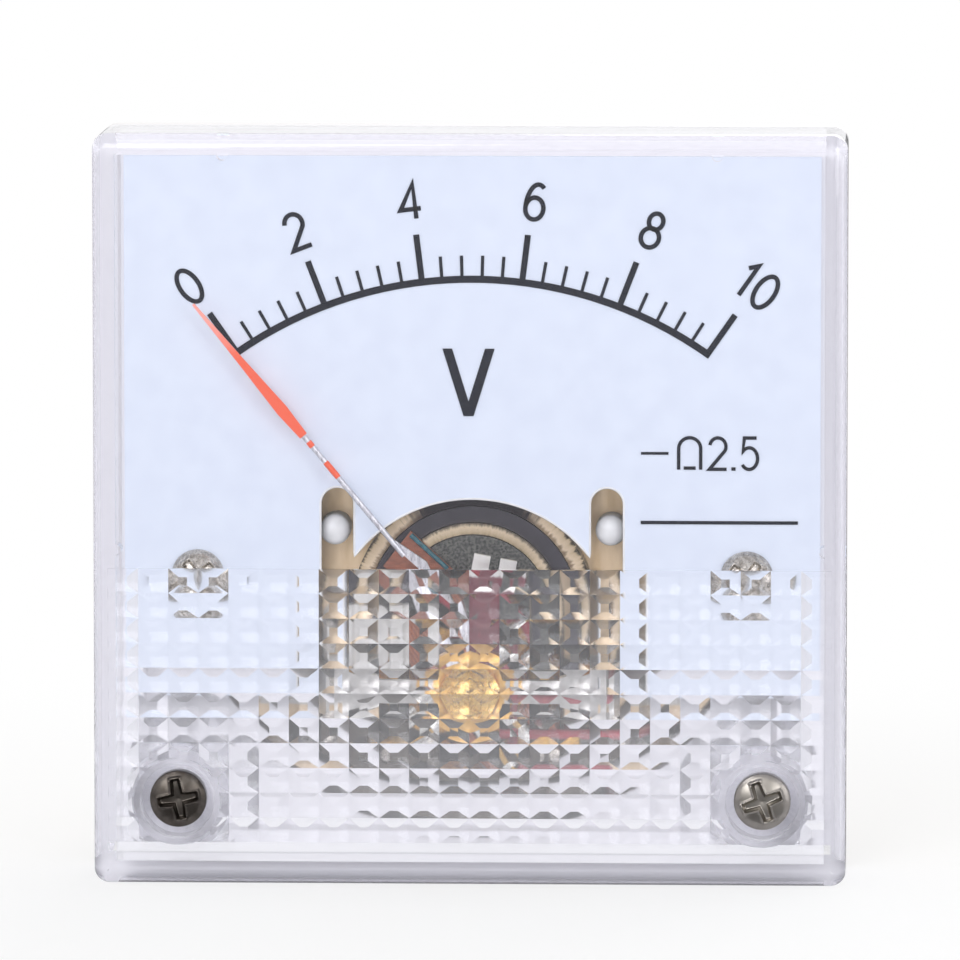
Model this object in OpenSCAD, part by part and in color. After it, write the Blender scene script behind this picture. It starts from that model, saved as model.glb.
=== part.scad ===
// Square panel meter with a moving-coil movement.
// The panel surface is the plane y = 0, the dial looks along -y and z points up the dial.
// Each module draws its piece face up: x to the right, y up the dial, z towards the viewer.
// in_panel() then turns the piece into place.

/* [Case] */
// Width and height of the square front
face_w = 45; // [44:0.5:52]
// Depth from the panel surface to the front face
front_depth = 10; // [9.5:0.5:14]
// Wall of the clear cover
cover_wall = 1.3; // [1:0.1:1.6]
// Thickness of the cover's window
window_t = 1.3; // [1.1:0.1:1.8]
// Radius of the cover's edges and corners
edge_r = 0.9; // [0.5:0.1:1.2]
// Thickness of the base's flange
flange_t = 2; // [1.5:0.1:2.4]
// Outer radius of the barrel behind the panel
barrel_r = 19; // [18.5:0.1:20]
// Depth of the barrel behind the panel
barrel_len = 20; // [19:0.5:28]
// Wall of the barrel
barrel_wall = 1.5; // [1:0.1:1.6]
// Radius of the barrel's rear edge
barrel_edge_r = 1; // [0.5:0.1:1.5]
// Thickness of the barrel's floor
floor_t = 2; // [1.5:0.1:3]
// Wall of the rim that carries the dial
rim_wall = 1.2; // [0.8:0.1:1.6]
// Gap between the rim and the cover
rim_gap = 0.1; // [0.05:0.05:0.2]
// Radius of the four snap nubs inside the cover
nub_r = 0.35; // [0.2:0.05:0.45]
// Length of the snap nubs
nub_len = 1.5; // [1:0.1:2]
// Distance between the two upper snap nubs
nub_pitch = 29.5; // [28:0.5:31]
// Height of the side nubs, measured from the dial's centre
nub_side_y = -2.5; // [-4:0.5:0]

/* [Prism band] */
// Prisms across the band
prism_cols = 24; // [16:1:30]
// Rows of prisms
prism_rows = 11; // [6:1:11]
// Top edge of the band, measured from the dial's centre
band_top = -3.5; // [-5:0.1:-3]
// Plain strip between the band and the cover's lower edge
band_margin = 1.6; // [1.2:0.1:3]
// Width of each prism's flat top
prism_flat = 0.5; // [0.3:0.05:0.7]
// Depth of the grooves between the prisms
prism_depth = 0.42; // [0.2:0.02:0.5]

/* [Case screws] */
// Distance from the case screws to the front's sides
screw_inset = 5; // [4.6:0.1:5.4]
// Radius of the screw's thread
screw_r = 1.25; // [1:0.05:1.3]
// Radius of the plain shank between head and thread
shank_r = 0.9; // [0.8:0.05:0.95]
// Radius of the screw's head
head_r = 1.7; // [1.5:0.05:1.9]
// Height of the screw's head
head_h = 1.4; // [1.2:0.1:1.6]
// Height of the dome on the head
head_dome = 0.4; // [0.2:0.05:0.6]
// Length of thread behind the panel surface
stud_len = 10; // [6:0.5:14]
// Height of the chamfer at the ends of screws and studs
tip_h = 0.4; // [0.2:0.05:0.6]
// Radius of the well round the head
well_r = 2.2; // [2.05:0.05:2.4]
// Depth of the well below the front face
well_depth = 2.2; // [1.8:0.1:2.6]
// Radius of the cover's screw columns
column_r = 3; // [2.8:0.1:3.2]

/* [Dial] */
// Gap between the dial plate and the cover's walls
dial_gap = 0.3; // [0.2:0.05:0.6]
// Reach of the dial plate below the pivot
dial_foot = 0.65; // [0.3:0.05:2]
// Thickness of the dial plate
dial_t = 0.5; // [0.3:0.05:0.7]
// Depth from the front face to the dial's printed side
dial_depth = 5; // [4.8:0.1:5.2]
// Radius of the arched cut-out
arch_r = 8.9; // [8.4:0.1:9.2]
// Height of the arched cut-out's centre above the pivot
arch_rise = 2.45; // [2:0.05:2.9]
// Distance between the two slots
slot_pitch = 16.2; // [16:0.1:16.4]
// Width of each slot
slot_w = 2.04; // [1.9:0.02:2.2]
// Height of the slots' ends above the pivot
slot_rise = 12.05; // [11.6:0.05:12.4]
// Distance from the barrel's outside to the dial screws
dial_screw_inset = 2.5; // [2.3:0.05:2.7]
// Height of the dial screws above the pivot
dial_screw_rise = 6.65; // [6:0.05:7]
// Radius of the dial screws' heads
dial_head_r = 1.6; // [1.4:0.05:1.8]
// Height of the dial screws' heads
dial_head_h = 1.1; // [0.8:0.1:1.3]
// Radius of the dial screws' shanks
dial_shank_r = 0.8; // [0.6:0.05:0.9]
// Length of the dial screws' shanks
dial_shank_len = 5; // [4:0.5:8]
// Radius of the bosses under the dial screws
boss_r = 1.9; // [1.5:0.1:2]
// Setback of the bosses from the barrel's outside
boss_setback = 0.2; // [0.1:0.05:0.4]

/* [Scale] */
// Inner radius of the scale's arc
scale_r = 24.37; // [23.8:0.05:24.8]
// Width of the arc's line
arc_line = 0.42; // [0.2:0.02:0.6]
// Angle from the first mark to the last
sweep = 70.1; // [60:0.5:74]
// Number of divisions
divisions = 25; // [10:5:30]
// Divisions between two long marks
major_every = 5; // [1:1:10]
// Outer radius of the long marks
major_r = 27.45; // [26.8:0.05:28]
// Outer radius of the short marks
minor_r = 26; // [25.4:0.05:26.6]
// Width of a long mark
major_line = 0.36; // [0.2:0.02:0.5]
// Width of a short mark
minor_line = 0.19; // [0.1:0.01:0.3]
// Thickness of the print
ink_t = 0.05; // [0.03:0.01:0.08]

/* [Magnet system] */
// Distance from the pivot to the barrel's inner wall below it
pivot_inset = 6.45; // [6.3:0.05:6.7]
// Height of the arch's centre above the pivot
arch_lift = 4.4; // [4.2:0.05:4.6]
// Outer radius of the yoke
yoke_r = 7.35; // [7.2:0.05:7.5]
// Wall of the yoke
yoke_wall = 0.95; // [0.8:0.05:1]
// Depth of the yoke
yoke_depth = 9; // [8.6:0.1:9.4]
// Gap between the yoke's face and the back of the dial
yoke_drop = 1; // [0.8:0.1:1.4]
// Radius of the bore in which the coil swings
bore_r = 4.8; // [4.75:0.05:4.9]
// Thickness of the arched magnet
magnet_t = 0.95; // [0.8:0.05:1.05]
// Thickness of the strap inside the magnet
strap_t = 0.7; // [0.5:0.05:0.8]
// Length of the arch's straight legs
leg_len = 2.2; // [1.8:0.1:2.4]
// Glue gap between the parts of the magnet system
glue_gap = 0.05; // [0.02:0.01:0.08]
// Radius of the core
core_r = 3.2; // [3:0.05:3.25]
// Length of the core
core_len = 6.4; // [5.8:0.1:6.6]
// Side of the square bar that carries the core
bar_w = 1.4; // [1:0.1:1.6]
// Gap between the movement and the barrel's inner wall
wall_gap = 0.5; // [0.4:0.05:0.8]

/* [Frame and bridges] */
// Thickness of the movement frame
frame_t = 0.8; // [0.6:0.1:1]
// Rim of the movement frame round its holes and beyond the slots
frame_rim = 1; // [0.7:0.1:1.4]
// Radius of the movement frame's corners
frame_corner_r = 2; // [1:0.1:3]
// Gap from the frame's front to the back of the dial
frame_drop = 3.1; // [3:0.1:3.4]
// Distance between the two upper posts
post_pitch = 16.6; // [16.4:0.1:16.8]
// Height of the upper posts above the pivot
post_rise = 9.35; // [9.1:0.05:9.6]
// Distance between the two lower posts
low_post_pitch = 23.2; // [23:0.1:23.6]
// Height of the lower posts above the pivot
low_post_rise = 3.85; // [3.6:0.05:4.1]
// Radius of the posts' pins
pin_r = 0.7; // [0.5:0.05:0.75]
// Radius of the posts' melted heads
stake_r = 0.9; // [0.8:0.05:1.1]
// Height of the melted heads
stake_h = 0.9; // [0.6:0.1:1.1]
// Radius of the pillars below the posts
pillar_r = 1.7; // [1.5:0.1:1.8]
// Thickness of the bridges
bridge_t = 0.6; // [0.5:0.05:0.7]
// Width of the bridges
bridge_w = 3; // [2.6:0.1:3.4]
// Width of the bridges' arms between legs and eye
bridge_waist = 1.4; // [1.2:0.1:1.8]
// Length over which each arm narrows from its leg
bridge_taper = 3; // [2:0.1:4]
// Widening of the bridges round the jewel screws
bridge_eye = 1; // [0.8:0.05:1.1]
// Gap between the yoke and the bridges' legs
bridge_clear = 0.2; // [0.15:0.05:0.4]
// Length of the bridges' feet
foot_len = 2.5; // [2.4:0.1:2.7]
// Gap from the front bridge to the window
bridge_gap = 0.8; // [0.7:0.05:0.9]
// Depth of the rear bridge behind the yoke
rear_bridge_drop = 3.6; // [3.4:0.1:4]
// Radius of the bridge screws
bridge_screw_r = 0.6; // [0.5:0.05:0.7]
// Radius of the bridge screws' heads
bridge_head_r = 1.2; // [1:0.05:1.25]
// Height of the bridge screws' heads
bridge_head_h = 0.8; // [0.6:0.05:0.9]
// Height of the bridge screws' nuts
bridge_nut_h = 1; // [0.8:0.1:1.4]
// Width of the slots in the bridge screws and jewel screws
driver_slot_w = 0.32; // [0.2:0.02:0.4]
// Clearance round small screws and pins in their holes
hole_gap = 0.05; // [0.03:0.01:0.08]
// Radius of the jewel screws
jewel_r = 0.9; // [0.8:0.05:1]
// Radius of the jewel screws' lock nuts
jewel_nut_r = 1.6; // [1.4:0.1:1.8]
// Height of the lock nuts
jewel_nut_h = 0.4; // [0.3:0.05:0.45]
// Depth of the jewel screws' slots
jewel_slot_d = 0.3; // [0.2:0.05:0.4]
// Depth of the bore that takes a pivot
jewel_bore = 0.7; // [0.6:0.05:0.8]
// Height of a jewel screw's inner end beyond its bridge
jewel_boss = 0.2; // [0.1:0.05:0.3]
// Running clearance round the pivots and under the zero lever
run_gap = 0.05; // [0.03:0.01:0.08]
// End play of the pivots in their bores
pivot_play = 0.15; // [0.1:0.01:0.2]

/* [Moving element] */
// Angle of the pointer's tip left of upright, at rest
rest_angle = 35.8; // [30:0.1:37]
// Inner half-width of the coil
coil_r = 3.5; // [3.5:0.02:3.56]
// Thickness of the coil's aluminium former
former_t = 0.2; // [0.15:0.01:0.22]
// Thickness of the winding
winding_t = 0.55; // [0.4:0.05:0.6]
// Width of the coil's sides
coil_w = 1.8; // [1.4:0.1:2]
// Gap between the core's ends and the former
coil_end_gap = 0.4; // [0.3:0.05:0.5]
// Radius of the pivots
staff_r = 0.3; // [0.25:0.01:0.34]
// Radius of the staffs' glued feet
staff_foot_r = 1; // [0.8:0.05:1.2]
// Height of the staffs' glued feet
staff_foot_h = 0.4; // [0.3:0.05:0.5]
// Radius of the collets that hold the hairsprings
collet_r = 0.6; // [0.5:0.05:0.7]
// Radius of the hub of pointer and balance
hub_r = 1.1; // [0.9:0.05:1.3]
// Height of the pointer's hub, and of the balance's
hub_h = 0.3; // [0.2:0.02:0.34]
// Length of the pointer from the pivot
pointer_len = 28.5; // [27.8:0.1:28.8]
// Turn of the pointer's tube and blade away from the line between pivot and tip
pointer_lean = 4.1; // [0:0.1:5]
// Step to the side of the arm's end, where it takes the tube
arm_step = 0.5; // [0:0.05:0.6]
// Gap between the dial and the pointer
pointer_gap = 0.8; // [0.7:0.05:0.9]
// Width of the pointer's arm at the hub
arm_foot_w = 0.9; // [0.7:0.05:1]
// Width of the pointer's arm where the tube starts
arm_end_w = 0.64; // [0.5:0.02:0.7]
// Length over which the arm's end grips the tube
grip_len = 2.2; // [1.6:0.1:2.6]
// Radius of the pointer's tube
tube_r = 0.17; // [0.12:0.01:0.2]
// Distance from the pivot at which the tube starts
tube_start = 7.7; // [7.4:0.1:8]
// Distance from the pivot at which the tube ends in the blade
blade_start = 18.2; // [17:0.1:19]
// Distance from the pivot at which the blade is widest
blade_wide_at = 20.2; // [19.2:0.1:21]
// Distance from the pivot at which the blade's slow taper starts
blade_neck_at = 24; // [23:0.1:25]
// Width of the blade where the tube ends
blade_foot_w = 0.5; // [0.4:0.02:0.6]
// Width of the blade's tip
tip_w = 0.16; // [0.1:0.02:0.24]
// Greatest width of the blade
blade_w = 0.72; // [0.5:0.02:0.9]
// Width of the blade where its slow taper starts
blade_neck_w = 0.42; // [0.3:0.02:0.5]
// Thickness of the blade
blade_t = 0.15; // [0.1:0.01:0.2]
// Reach of the two side arms of the balance
arm_reach = 4.5; // [4:0.1:4.7]
// Reach of the balance's tail
tail_reach = 5.9; // [5.8:0.05:6]
// Radius of the balance's wires
wire_r = 0.2; // [0.15:0.01:0.24]
// Radius of the balance weights
weight_r = 0.55; // [0.45:0.05:0.6]
// Length of the balance weights
weight_len = 1.6; // [1:0.1:2]
// Distance from a balance weight to the end of its wire
weight_inset = 0.3; // [0.1:0.05:0.4]
// Travel below zero before the tail meets its stop
under_travel = 3; // [2:0.5:5]
// Radius of the two stop pins
stop_r = 0.4; // [0.3:0.02:0.45]
// Turns of each hairspring
spring_turns = 4; // [2:1:5]
// Outer radius of the hairsprings
spring_r = 2.7; // [2.5:0.05:2.8]
// Thickness of the hairsprings' strip
spring_t = 0.1; // [0.08:0.01:0.14]
// Width of the hairsprings' strip
spring_w = 0.3; // [0.2:0.02:0.32]
// Length of the zero lever from the pivot
lever_len = 8.2; // [8:0.1:8.4]
// Width of the zero lever
lever_w = 1.2; // [1:0.05:1.4]
// Thickness of the zero lever
lever_t = 0.3; // [0.2:0.02:0.32]
// Gap between the zero lever and the front bridge
lever_gap = 0.1; // [0.06:0.01:0.14]
// Width of the lever's fork
fork_w = 2.6; // [2.2:0.1:3]
// Length of the lever's fork
fork_len = 1.6; // [1.2:0.1:2]
// Width of the fork's slot
fork_slot_w = 0.6; // [0.4:0.05:0.8]
// Width of the ring with which the lever turns on the jewel screw
lever_ring = 0.9; // [0.7:0.05:1]
// Radius of the pins that hold the hairsprings' ends
spring_pin_r = 0.2; // [0.15:0.01:0.25]
// Angle of the zero lever right of upright
lever_angle = 10.6; // [8:0.2:12]

/* [Terminals] */
// Distance between the terminals
terminal_pitch = 15; // [14:0.5:18]
// Height of the terminals above the pivot
terminal_rise = 16.05; // [15.5:0.05:17]
// Radius of the terminal studs
terminal_r = 1.5; // [1.25:0.05:2]
// Length of the studs behind the barrel
terminal_len = 9; // [8.5:0.5:12]
// Height of the studs' inner heads
terminal_head_h = 1.4; // [1:0.1:1.8]
// Width of the nuts across their flats
nut_flats = 5.5; // [5:0.1:7]
// Height of the nuts
nut_h = 2.2; // [1.8:0.1:2.4]
// Radius of the washers
washer_r = 3.4; // [3:0.1:3.8]
// Thickness of the washers
washer_t = 0.5; // [0.4:0.05:0.8]
// Thickness of the solder lugs
lug_t = 0.5; // [0.4:0.05:0.8]
// Reach of a solder lug from its stud
lug_reach = 8.5; // [8:0.1:9]
// Width of a solder lug's tongue
lug_w = 2.2; // [1.8:0.1:2.6]
// Radius of the hole at a solder lug's end
lug_hole_r = 0.6; // [0.4:0.05:0.8]
// Radius of the raised pads round the studs
pad_r = 4.6; // [4.2:0.1:5]
// Height of the raised pads
pad_h = 0.6; // [0.4:0.1:1]
// Radius of the resistor's body
resistor_r = 1.2; // [0.9:0.05:1.25]
// Length of the resistor's body
resistor_len = 6.4; // [5:0.1:6.6]
// Radius of the resistor's wires
lead_r = 0.25; // [0.2:0.01:0.3]
// Radius of the red lead
red_r = 0.3; // [0.25:0.01:0.35]
// Radius of the enamelled lead
blue_r = 0.15; // [0.1:0.01:0.2]

/* [Insulation] */
// Length of the insulating wedge, outwards from the bore
wedge_len = 5.2; // [4.6:0.1:5.6]
// Thickness of the insulating wedge
wedge_t = 0.4; // [0.2:0.05:0.5]
// Width and height of the wire guide
guide_w = 3.7; // [3.2:0.1:4]
// Thickness of the wire guide
guide_t = 1.1; // [0.8:0.1:1.2]
// Radius of the wire guide's groove
guide_groove_r = 0.4; // [0.35:0.01:0.5]

/* [Hidden] */

$fn = 64;
sides = [-1, 1];
eps = 0.01; // Overlap of parts that are one solid
over = 1; // Reach of a cut beyond the surface it opens

// Levels above the panel surface
window_z = front_depth - window_t;
dial_z = front_depth - dial_depth;
dial_back = dial_z - dial_t;
frame_z = dial_back - frame_drop;
frame_back = frame_z - frame_t;
yoke_z = dial_back - yoke_drop;
yoke_back = yoke_z - yoke_depth;
core_mid = (yoke_z + yoke_back) / 2;
floor_z = floor_t - barrel_len;
well_z = front_depth - well_depth;
bridge_top = window_z - bridge_gap;
bridge_z = bridge_top - bridge_t;
rear_bridge_top = yoke_back - rear_bridge_drop;
rear_bridge_z = rear_bridge_top - bridge_t;
pointer_z = dial_z + pointer_gap;

// Case
cavity_r = barrel_r - barrel_wall;
cover_in = face_w - 2 * cover_wall;
rim_out = cover_in - 2 * rim_gap;
rim_in = rim_out - 2 * rim_wall;
screw_pitch = face_w - 2 * screw_inset;
screw_y = -screw_pitch / 2;
dial_w = cover_in - 2 * dial_gap;
dial_top = dial_w / 2;

// Prism band
band_w = face_w - 2 * edge_r;
col_pitch = band_w / prism_cols;
band_bottom = edge_r + band_margin - face_w / 2;
row_pitch = (band_top - band_bottom) / prism_rows;
land_r = well_r + 0.4;

// Heights on the dial and in the movement, from the pivot
pivot_y = pivot_inset - cavity_r;
dial_bottom = pivot_y - dial_foot;
arch_y = pivot_y + arch_rise;
slot_top = pivot_y + slot_rise;
dial_screw_y = pivot_y + dial_screw_rise;
dial_screw_pitch = 2 * (barrel_r - dial_screw_inset);
post_y = pivot_y + post_rise;
low_post_y = pivot_y + low_post_rise;
terminal_y = pivot_y + terminal_rise;

// Magnet system
arch_c = pivot_y + arch_lift;
yoke_in = yoke_r - yoke_wall;
magnet_r = yoke_in - glue_gap;
strap_r = magnet_r - magnet_t - glue_gap;
block_r = strap_r - strap_t - glue_gap;
leg_bottom = arch_c - leg_len;
shoe_top = pivot_y - bore_r / 2;
movement_limit_r = cavity_r - wall_gap;
bridge_span = 2 * (yoke_r + bridge_clear);
foot_pitch = bridge_span + 2 * bridge_t + foot_len;
frame_w = low_post_pitch + 2 * (pin_r + hole_gap + frame_rim);
frame_top = slot_top + frame_rim;
frame_bottom = pivot_y - bridge_w / 2 - frame_rim;

// Moving element, with the levels measured along the pivot
former_in = core_len / 2 + coil_end_gap;
former_out = former_in + former_t;
winding_out = former_out + winding_t;
coil_front = core_mid + winding_out;
coil_rear = core_mid - winding_out;
cross_z = pointer_z - hub_h;
lever_z = bridge_z - lever_gap - lever_t;
spring_z = lever_z - lever_gap - spring_w;
rear_spring_z = rear_bridge_top + 5 * spring_w;
jewel_z = lever_z - lever_gap;
jewel_top = bridge_top + jewel_nut_h + 0.1;
spring_end = spring_r + spring_pin_r + spring_t / 2;
stop_at = tail_reach - stop_r / 2;
stop_turn = asin((wire_r + stop_r) / stop_at) + 0.6;

// Wires and insulation
insulator_z = yoke_z + wedge_t;
wedge_corners = [for (c = [[1, 22], [0.43, 9.8], [0.08, 6.6], [0.34, 31.3], [0.8, 37.1]])
    (bore_r + c[0] * wedge_len) * [-sin(c[1]), cos(c[1])]];
guide_at = [-bore_r - guide_w / 7, pivot_y + 0.8 * guide_w];
resistor_y = terminal_y - 4;
resistor_z = floor_z + terminal_head_h + 2.2 * resistor_r;

// Terminals, from the pads outwards
pad_z = -barrel_len - pad_h;
terminal_washer_z = pad_z - washer_t;
terminal_nut_z = terminal_washer_z - nut_h;
terminal_lug_z = terminal_nut_z - lug_t;

module in_panel() { rotate([90, 0, 0]) children(); }

module at_pivot(angle = 0) { translate([0, pivot_y]) rotate([0, 0, angle]) children(); }

module both_sides(pitch, y) { for (s = sides) translate([s * pitch / 2, y]) children(); }

// A disc or rod standing from one level to another
module rod(r, from, to) { translate([0, 0, from]) cylinder(r = r, h = to - from); }

// A rod that lies along the x axis
module lying_rod(r, from, to) { translate([from, 0]) rotate([0, 90, 0]) cylinder(r = r, h = to - from); }

module slab(from, to) { translate([0, 0, from]) linear_extrude(to - from) children(); }

// A rectangle with round corners
module soft_square(w, h, r) {
    square([w - 2 * r, h], center = true);
    square([w, h - 2 * r], center = true);
    for (x = sides, y = sides) translate([x * (w / 2 - r), y * (h / 2 - r)]) circle(r);
}

// A square block whose front edges and corners are all rounded by the same radius
module soft_block(w, from, to, r) {
    inner = w / 2 - r;
    slab(from, to - r) soft_square(w, w, r);
    slab(from, to) square(2 * inner, center = true);
    for (turn = [0 : 90 : 270]) rotate([0, 0, turn]) {
        translate([inner, 0, to - r]) rotate([90, 0, 0]) cylinder(r = r, h = 2 * inner, center = true);
        translate([inner, inner, to - r]) sphere(r);
    }
}

// An arch: a half disc on straight legs
module arch(r, bottom) {
    translate([-r, bottom]) square([2 * r, arch_c - bottom]);
    translate([0, arch_c]) intersection() {
        circle(r);
        translate([-r, 0]) square([2 * r, r]);
    }
}

// One V-groove across the prism band, or its lower flank; its cutter stands above the face
module groove(width, length, whole = true) {
    rise = 0.6 * prism_flat / width;
    half = width / 2 * (1 + rise);
    top = prism_depth * rise;
    rotate([90, 0, 0]) linear_extrude(length, center = true)
        polygon([[-half, top], [whole ? half : 0, top], [0, -prism_depth]]);
}

module prism_grooves() {
    translate([0, 0, front_depth]) {
        for (i = [1 : prism_cols - 1])
            translate([(i - prism_cols / 2) * col_pitch, (band_top + band_bottom) / 2])
                groove(col_pitch - prism_flat, band_top - band_bottom);
        for (j = [0 : prism_rows]) translate([0, band_top - j * row_pitch]) rotate([0, 0, 90])
            groove(row_pitch - prism_flat, band_w, j > 0);
    }
}

// The recess of a cross-head screw, in shares of its head
module cross_recess(head, depth, top) {
    for (turn = [0, 90]) rotate([0, 0, turn])
        slab(top - depth, top + over) square([1.3 * head, 0.27 * head], center = true);
}

module front_cover() color([0.95, 0.96, 0.97, 0.4]) in_panel() difference() {
    union() {
        difference() {
            soft_block(face_w, flange_t, front_depth, edge_r);
            slab(flange_t - over, window_z) square(cover_in, center = true);
        }
        both_sides(screw_pitch, screw_y) rod(column_r, flange_t, front_depth - edge_r);
        both_sides(nub_pitch, cover_in / 2) rod(nub_r, window_z - nub_len, window_z);
        both_sides(cover_in, nub_side_y) rod(nub_r, window_z - nub_len, window_z);
    }
    difference() {
        prism_grooves();
        both_sides(screw_pitch, screw_y) rod(land_r, window_z, front_depth + over);
    }
    both_sides(screw_pitch, screw_y) {
        rod(screw_r + hole_gap, 0, front_depth);
        rod(well_r, well_z, front_depth + over);
    }
}

module base() color([0.93, 0.91, 0.87]) in_panel() difference() {
    union() {
        difference() {
            union() {
                slab(0, flange_t) soft_square(face_w, face_w, edge_r);
                barrel();
                both_sides(terminal_pitch, terminal_y) rod(pad_r, pad_z, floor_z);
            }
            rod(cavity_r, floor_z, flange_t + over);
        }
        rim();
        slab(floor_z - eps, dial_back) intersection() {
            both_sides(dial_screw_pitch, dial_screw_y) circle(boss_r);
            circle(barrel_r - boss_setback);
        }
        both_sides(post_pitch, post_y) post();
        both_sides(low_post_pitch, low_post_y) post();
    }
    both_sides(dial_screw_pitch, dial_screw_y)
        rod(dial_shank_r + hole_gap, dial_z - dial_shank_len - over, dial_back + over);
    both_sides(screw_pitch, screw_y) rod(screw_r + hole_gap, -over, flange_t + over);
    both_sides(terminal_pitch, terminal_y) rod(terminal_r + hole_gap, pad_z - over, floor_z + over);
}

// The square rim that the dial lies on, cut away round the cover's screw columns
module rim() slab(flange_t - eps, dial_back) difference() {
    square(rim_out, center = true);
    square(rim_in, center = true);
    both_sides(screw_pitch, screw_y) circle(column_r + 2 * rim_gap);
}

module barrel() rotate_extrude() {
    inner = barrel_r - barrel_edge_r;
    translate([0, barrel_edge_r - barrel_len]) square([barrel_r, barrel_len - barrel_edge_r]);
    translate([0, -barrel_len]) square([inner, barrel_edge_r]);
    translate([inner, barrel_edge_r - barrel_len]) circle(barrel_edge_r);
}

// A pillar with a thin pin whose end is melted over the movement frame
module post() {
    rod(pillar_r, floor_z - eps, frame_back);
    rod(pin_r, frame_back - eps, frame_z);
    ball_r = 1.25 * stake_r;
    intersection() {
        rod(stake_r, frame_z, frame_z + stake_h);
        translate([0, 0, frame_z + stake_h - ball_r]) sphere(ball_r);
    }
}

module case_screws() color([0.72, 0.71, 0.7]) in_panel() both_sides(screw_pitch, screw_y) difference() {
    top = well_z + head_h;
    ball_r = 4 * head_r;
    union() {
        rod(head_r, well_z, top - head_dome);
        intersection() {
            rod(head_r, top - head_dome, top);
            translate([0, 0, top - ball_r]) sphere(ball_r, $fn = 128);
        }
        rod(shank_r, 0, well_z);
        rod(screw_r, tip_h - stud_len, 0);
        translate([0, 0, -stud_len]) cylinder(r1 = screw_r - tip_h, r2 = screw_r, h = tip_h);
    }
    rotate([0, 0, 10]) cross_recess(head_r, 0.6 * head_h, top);
}

module dial_outline() difference() {
    translate([-dial_w / 2, dial_bottom]) square([dial_w, dial_top - dial_bottom]);
    translate([0, arch_y]) circle(arch_r);
    for (s = sides) translate([s * slot_pitch / 2, slot_top - slot_w / 2]) {
        circle(slot_w / 2);
        translate([-slot_w / 2, dial_bottom - slot_top - over])
            square([slot_w, slot_top - dial_bottom + over]);
    }
    mouth_top = arch_y + sqrt(arch_r * arch_r - pow((slot_pitch - slot_w) / 2, 2));
    translate([-slot_pitch / 2, dial_bottom - over]) square([slot_pitch, mouth_top - dial_bottom + over]);
    both_sides(dial_screw_pitch, dial_screw_y) circle(dial_shank_r + hole_gap);
}

module dial_plate() color([0.88, 0.9, 0.96]) in_panel() slab(dial_back, dial_z) dial_outline();

module scale_mark(angle, line, outer) at_pivot(angle)
    translate([-line / 2, scale_r + arc_line / 2]) square([line, outer - scale_r - arc_line / 2]);

module scale_marks() color([0.15, 0.17, 0.23]) in_panel() slab(dial_z, dial_z + ink_t) {
    edge_angle = sweep / 2 + asin(major_line / 2 / scale_r);
    at_pivot() difference() {
        circle(scale_r + arc_line);
        circle(scale_r);
        for (s = sides) rotate([0, 0, -s * edge_angle]) translate([s > 0 ? 0 : -2 * scale_r, -scale_r])
            square([2 * scale_r, 3 * scale_r]);
        translate([-2 * scale_r, -2 * scale_r]) square([4 * scale_r, 2 * scale_r]);
    }
    for (i = [0 : divisions]) {
        major = i % major_every == 0;
        angle = sweep * (0.5 - i / divisions);
        scale_mark(angle, major ? major_line : minor_line, major ? major_r : minor_r);
    }
}

module dial_screws() color([0.75, 0.73, 0.68]) in_panel()
both_sides(dial_screw_pitch, dial_screw_y) difference() {
    top = dial_z + dial_head_h;
    ball_r = (dial_head_r * dial_head_r + dial_head_h * dial_head_h) / (2 * dial_head_h);
    union() {
        intersection() {
            rod(dial_head_r, dial_z, top);
            translate([0, 0, top - ball_r]) sphere(ball_r);
        }
        rod(dial_shank_r, dial_z - dial_shank_len, dial_z);
    }
    rotate([0, 0, 38]) cross_recess(dial_head_r, 0.55 * dial_head_h, top);
}

module yoke_outline() intersection() {
    union() {
        translate([0, arch_c]) circle(yoke_r);
        translate([-yoke_r, -barrel_r]) square([2 * yoke_r, arch_c + barrel_r]);
    }
    circle(movement_limit_r);
}

module movement_frame() color([0.74, 0.65, 0.52]) in_panel() slab(frame_back, frame_z) difference() {
    intersection() {
        translate([0, (frame_top + frame_bottom) / 2])
            soft_square(frame_w, frame_top - frame_bottom, frame_corner_r);
        circle(movement_limit_r);
    }
    yoke_outline();
    both_sides(dial_screw_pitch, dial_screw_y) circle(boss_r + dial_gap);
    both_sides(post_pitch, post_y) circle(pin_r + hole_gap);
    both_sides(low_post_pitch, low_post_y) circle(pin_r + hole_gap);
    both_sides(foot_pitch, pivot_y) circle(bridge_screw_r + hole_gap);
}

module yoke() color([0.8, 0.74, 0.62]) in_panel() slab(yoke_back, yoke_z) difference() {
    yoke_outline();
    arch(yoke_in, shoe_top);
    at_pivot() circle(bore_r);
}

// One layer of the arch between two radii, open round the bore
module arch_layer(outer, inner) slab(yoke_back, yoke_z) difference() {
    arch(outer, leg_bottom);
    if (inner > 0) arch(inner, leg_bottom - over);
    at_pivot() circle(bore_r);
}

module arc_magnet() color([0.2, 0.19, 0.22]) in_panel() arch_layer(magnet_r, magnet_r - magnet_t);

module pole_strap() color([0.8, 0.73, 0.6]) in_panel() arch_layer(strap_r, strap_r - strap_t);

module pole_block() color([0.35, 0.35, 0.36]) in_panel() arch_layer(block_r, 0);

module core() color([0.5, 0.5, 0.52]) in_panel() at_pivot() difference() {
    rod(core_r, core_mid - core_len / 2, core_mid + core_len / 2);
    bar_shape(core_r + over, bar_w + 2 * hole_gap);
}

module bar_shape(reach, width) {
    translate([0, 0, core_mid]) cube([2 * reach, width, width], center = true);
}

module core_bar() color([0.78, 0.62, 0.35]) in_panel() at_pivot() bar_shape(yoke_in, bar_w);

// A wedge of phenolic sheet on the face of the magnet system
module insulator() color([0.6, 0.35, 0.27]) in_panel() at_pivot()
    slab(yoke_z, insulator_z) polygon(wedge_corners);

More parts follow.
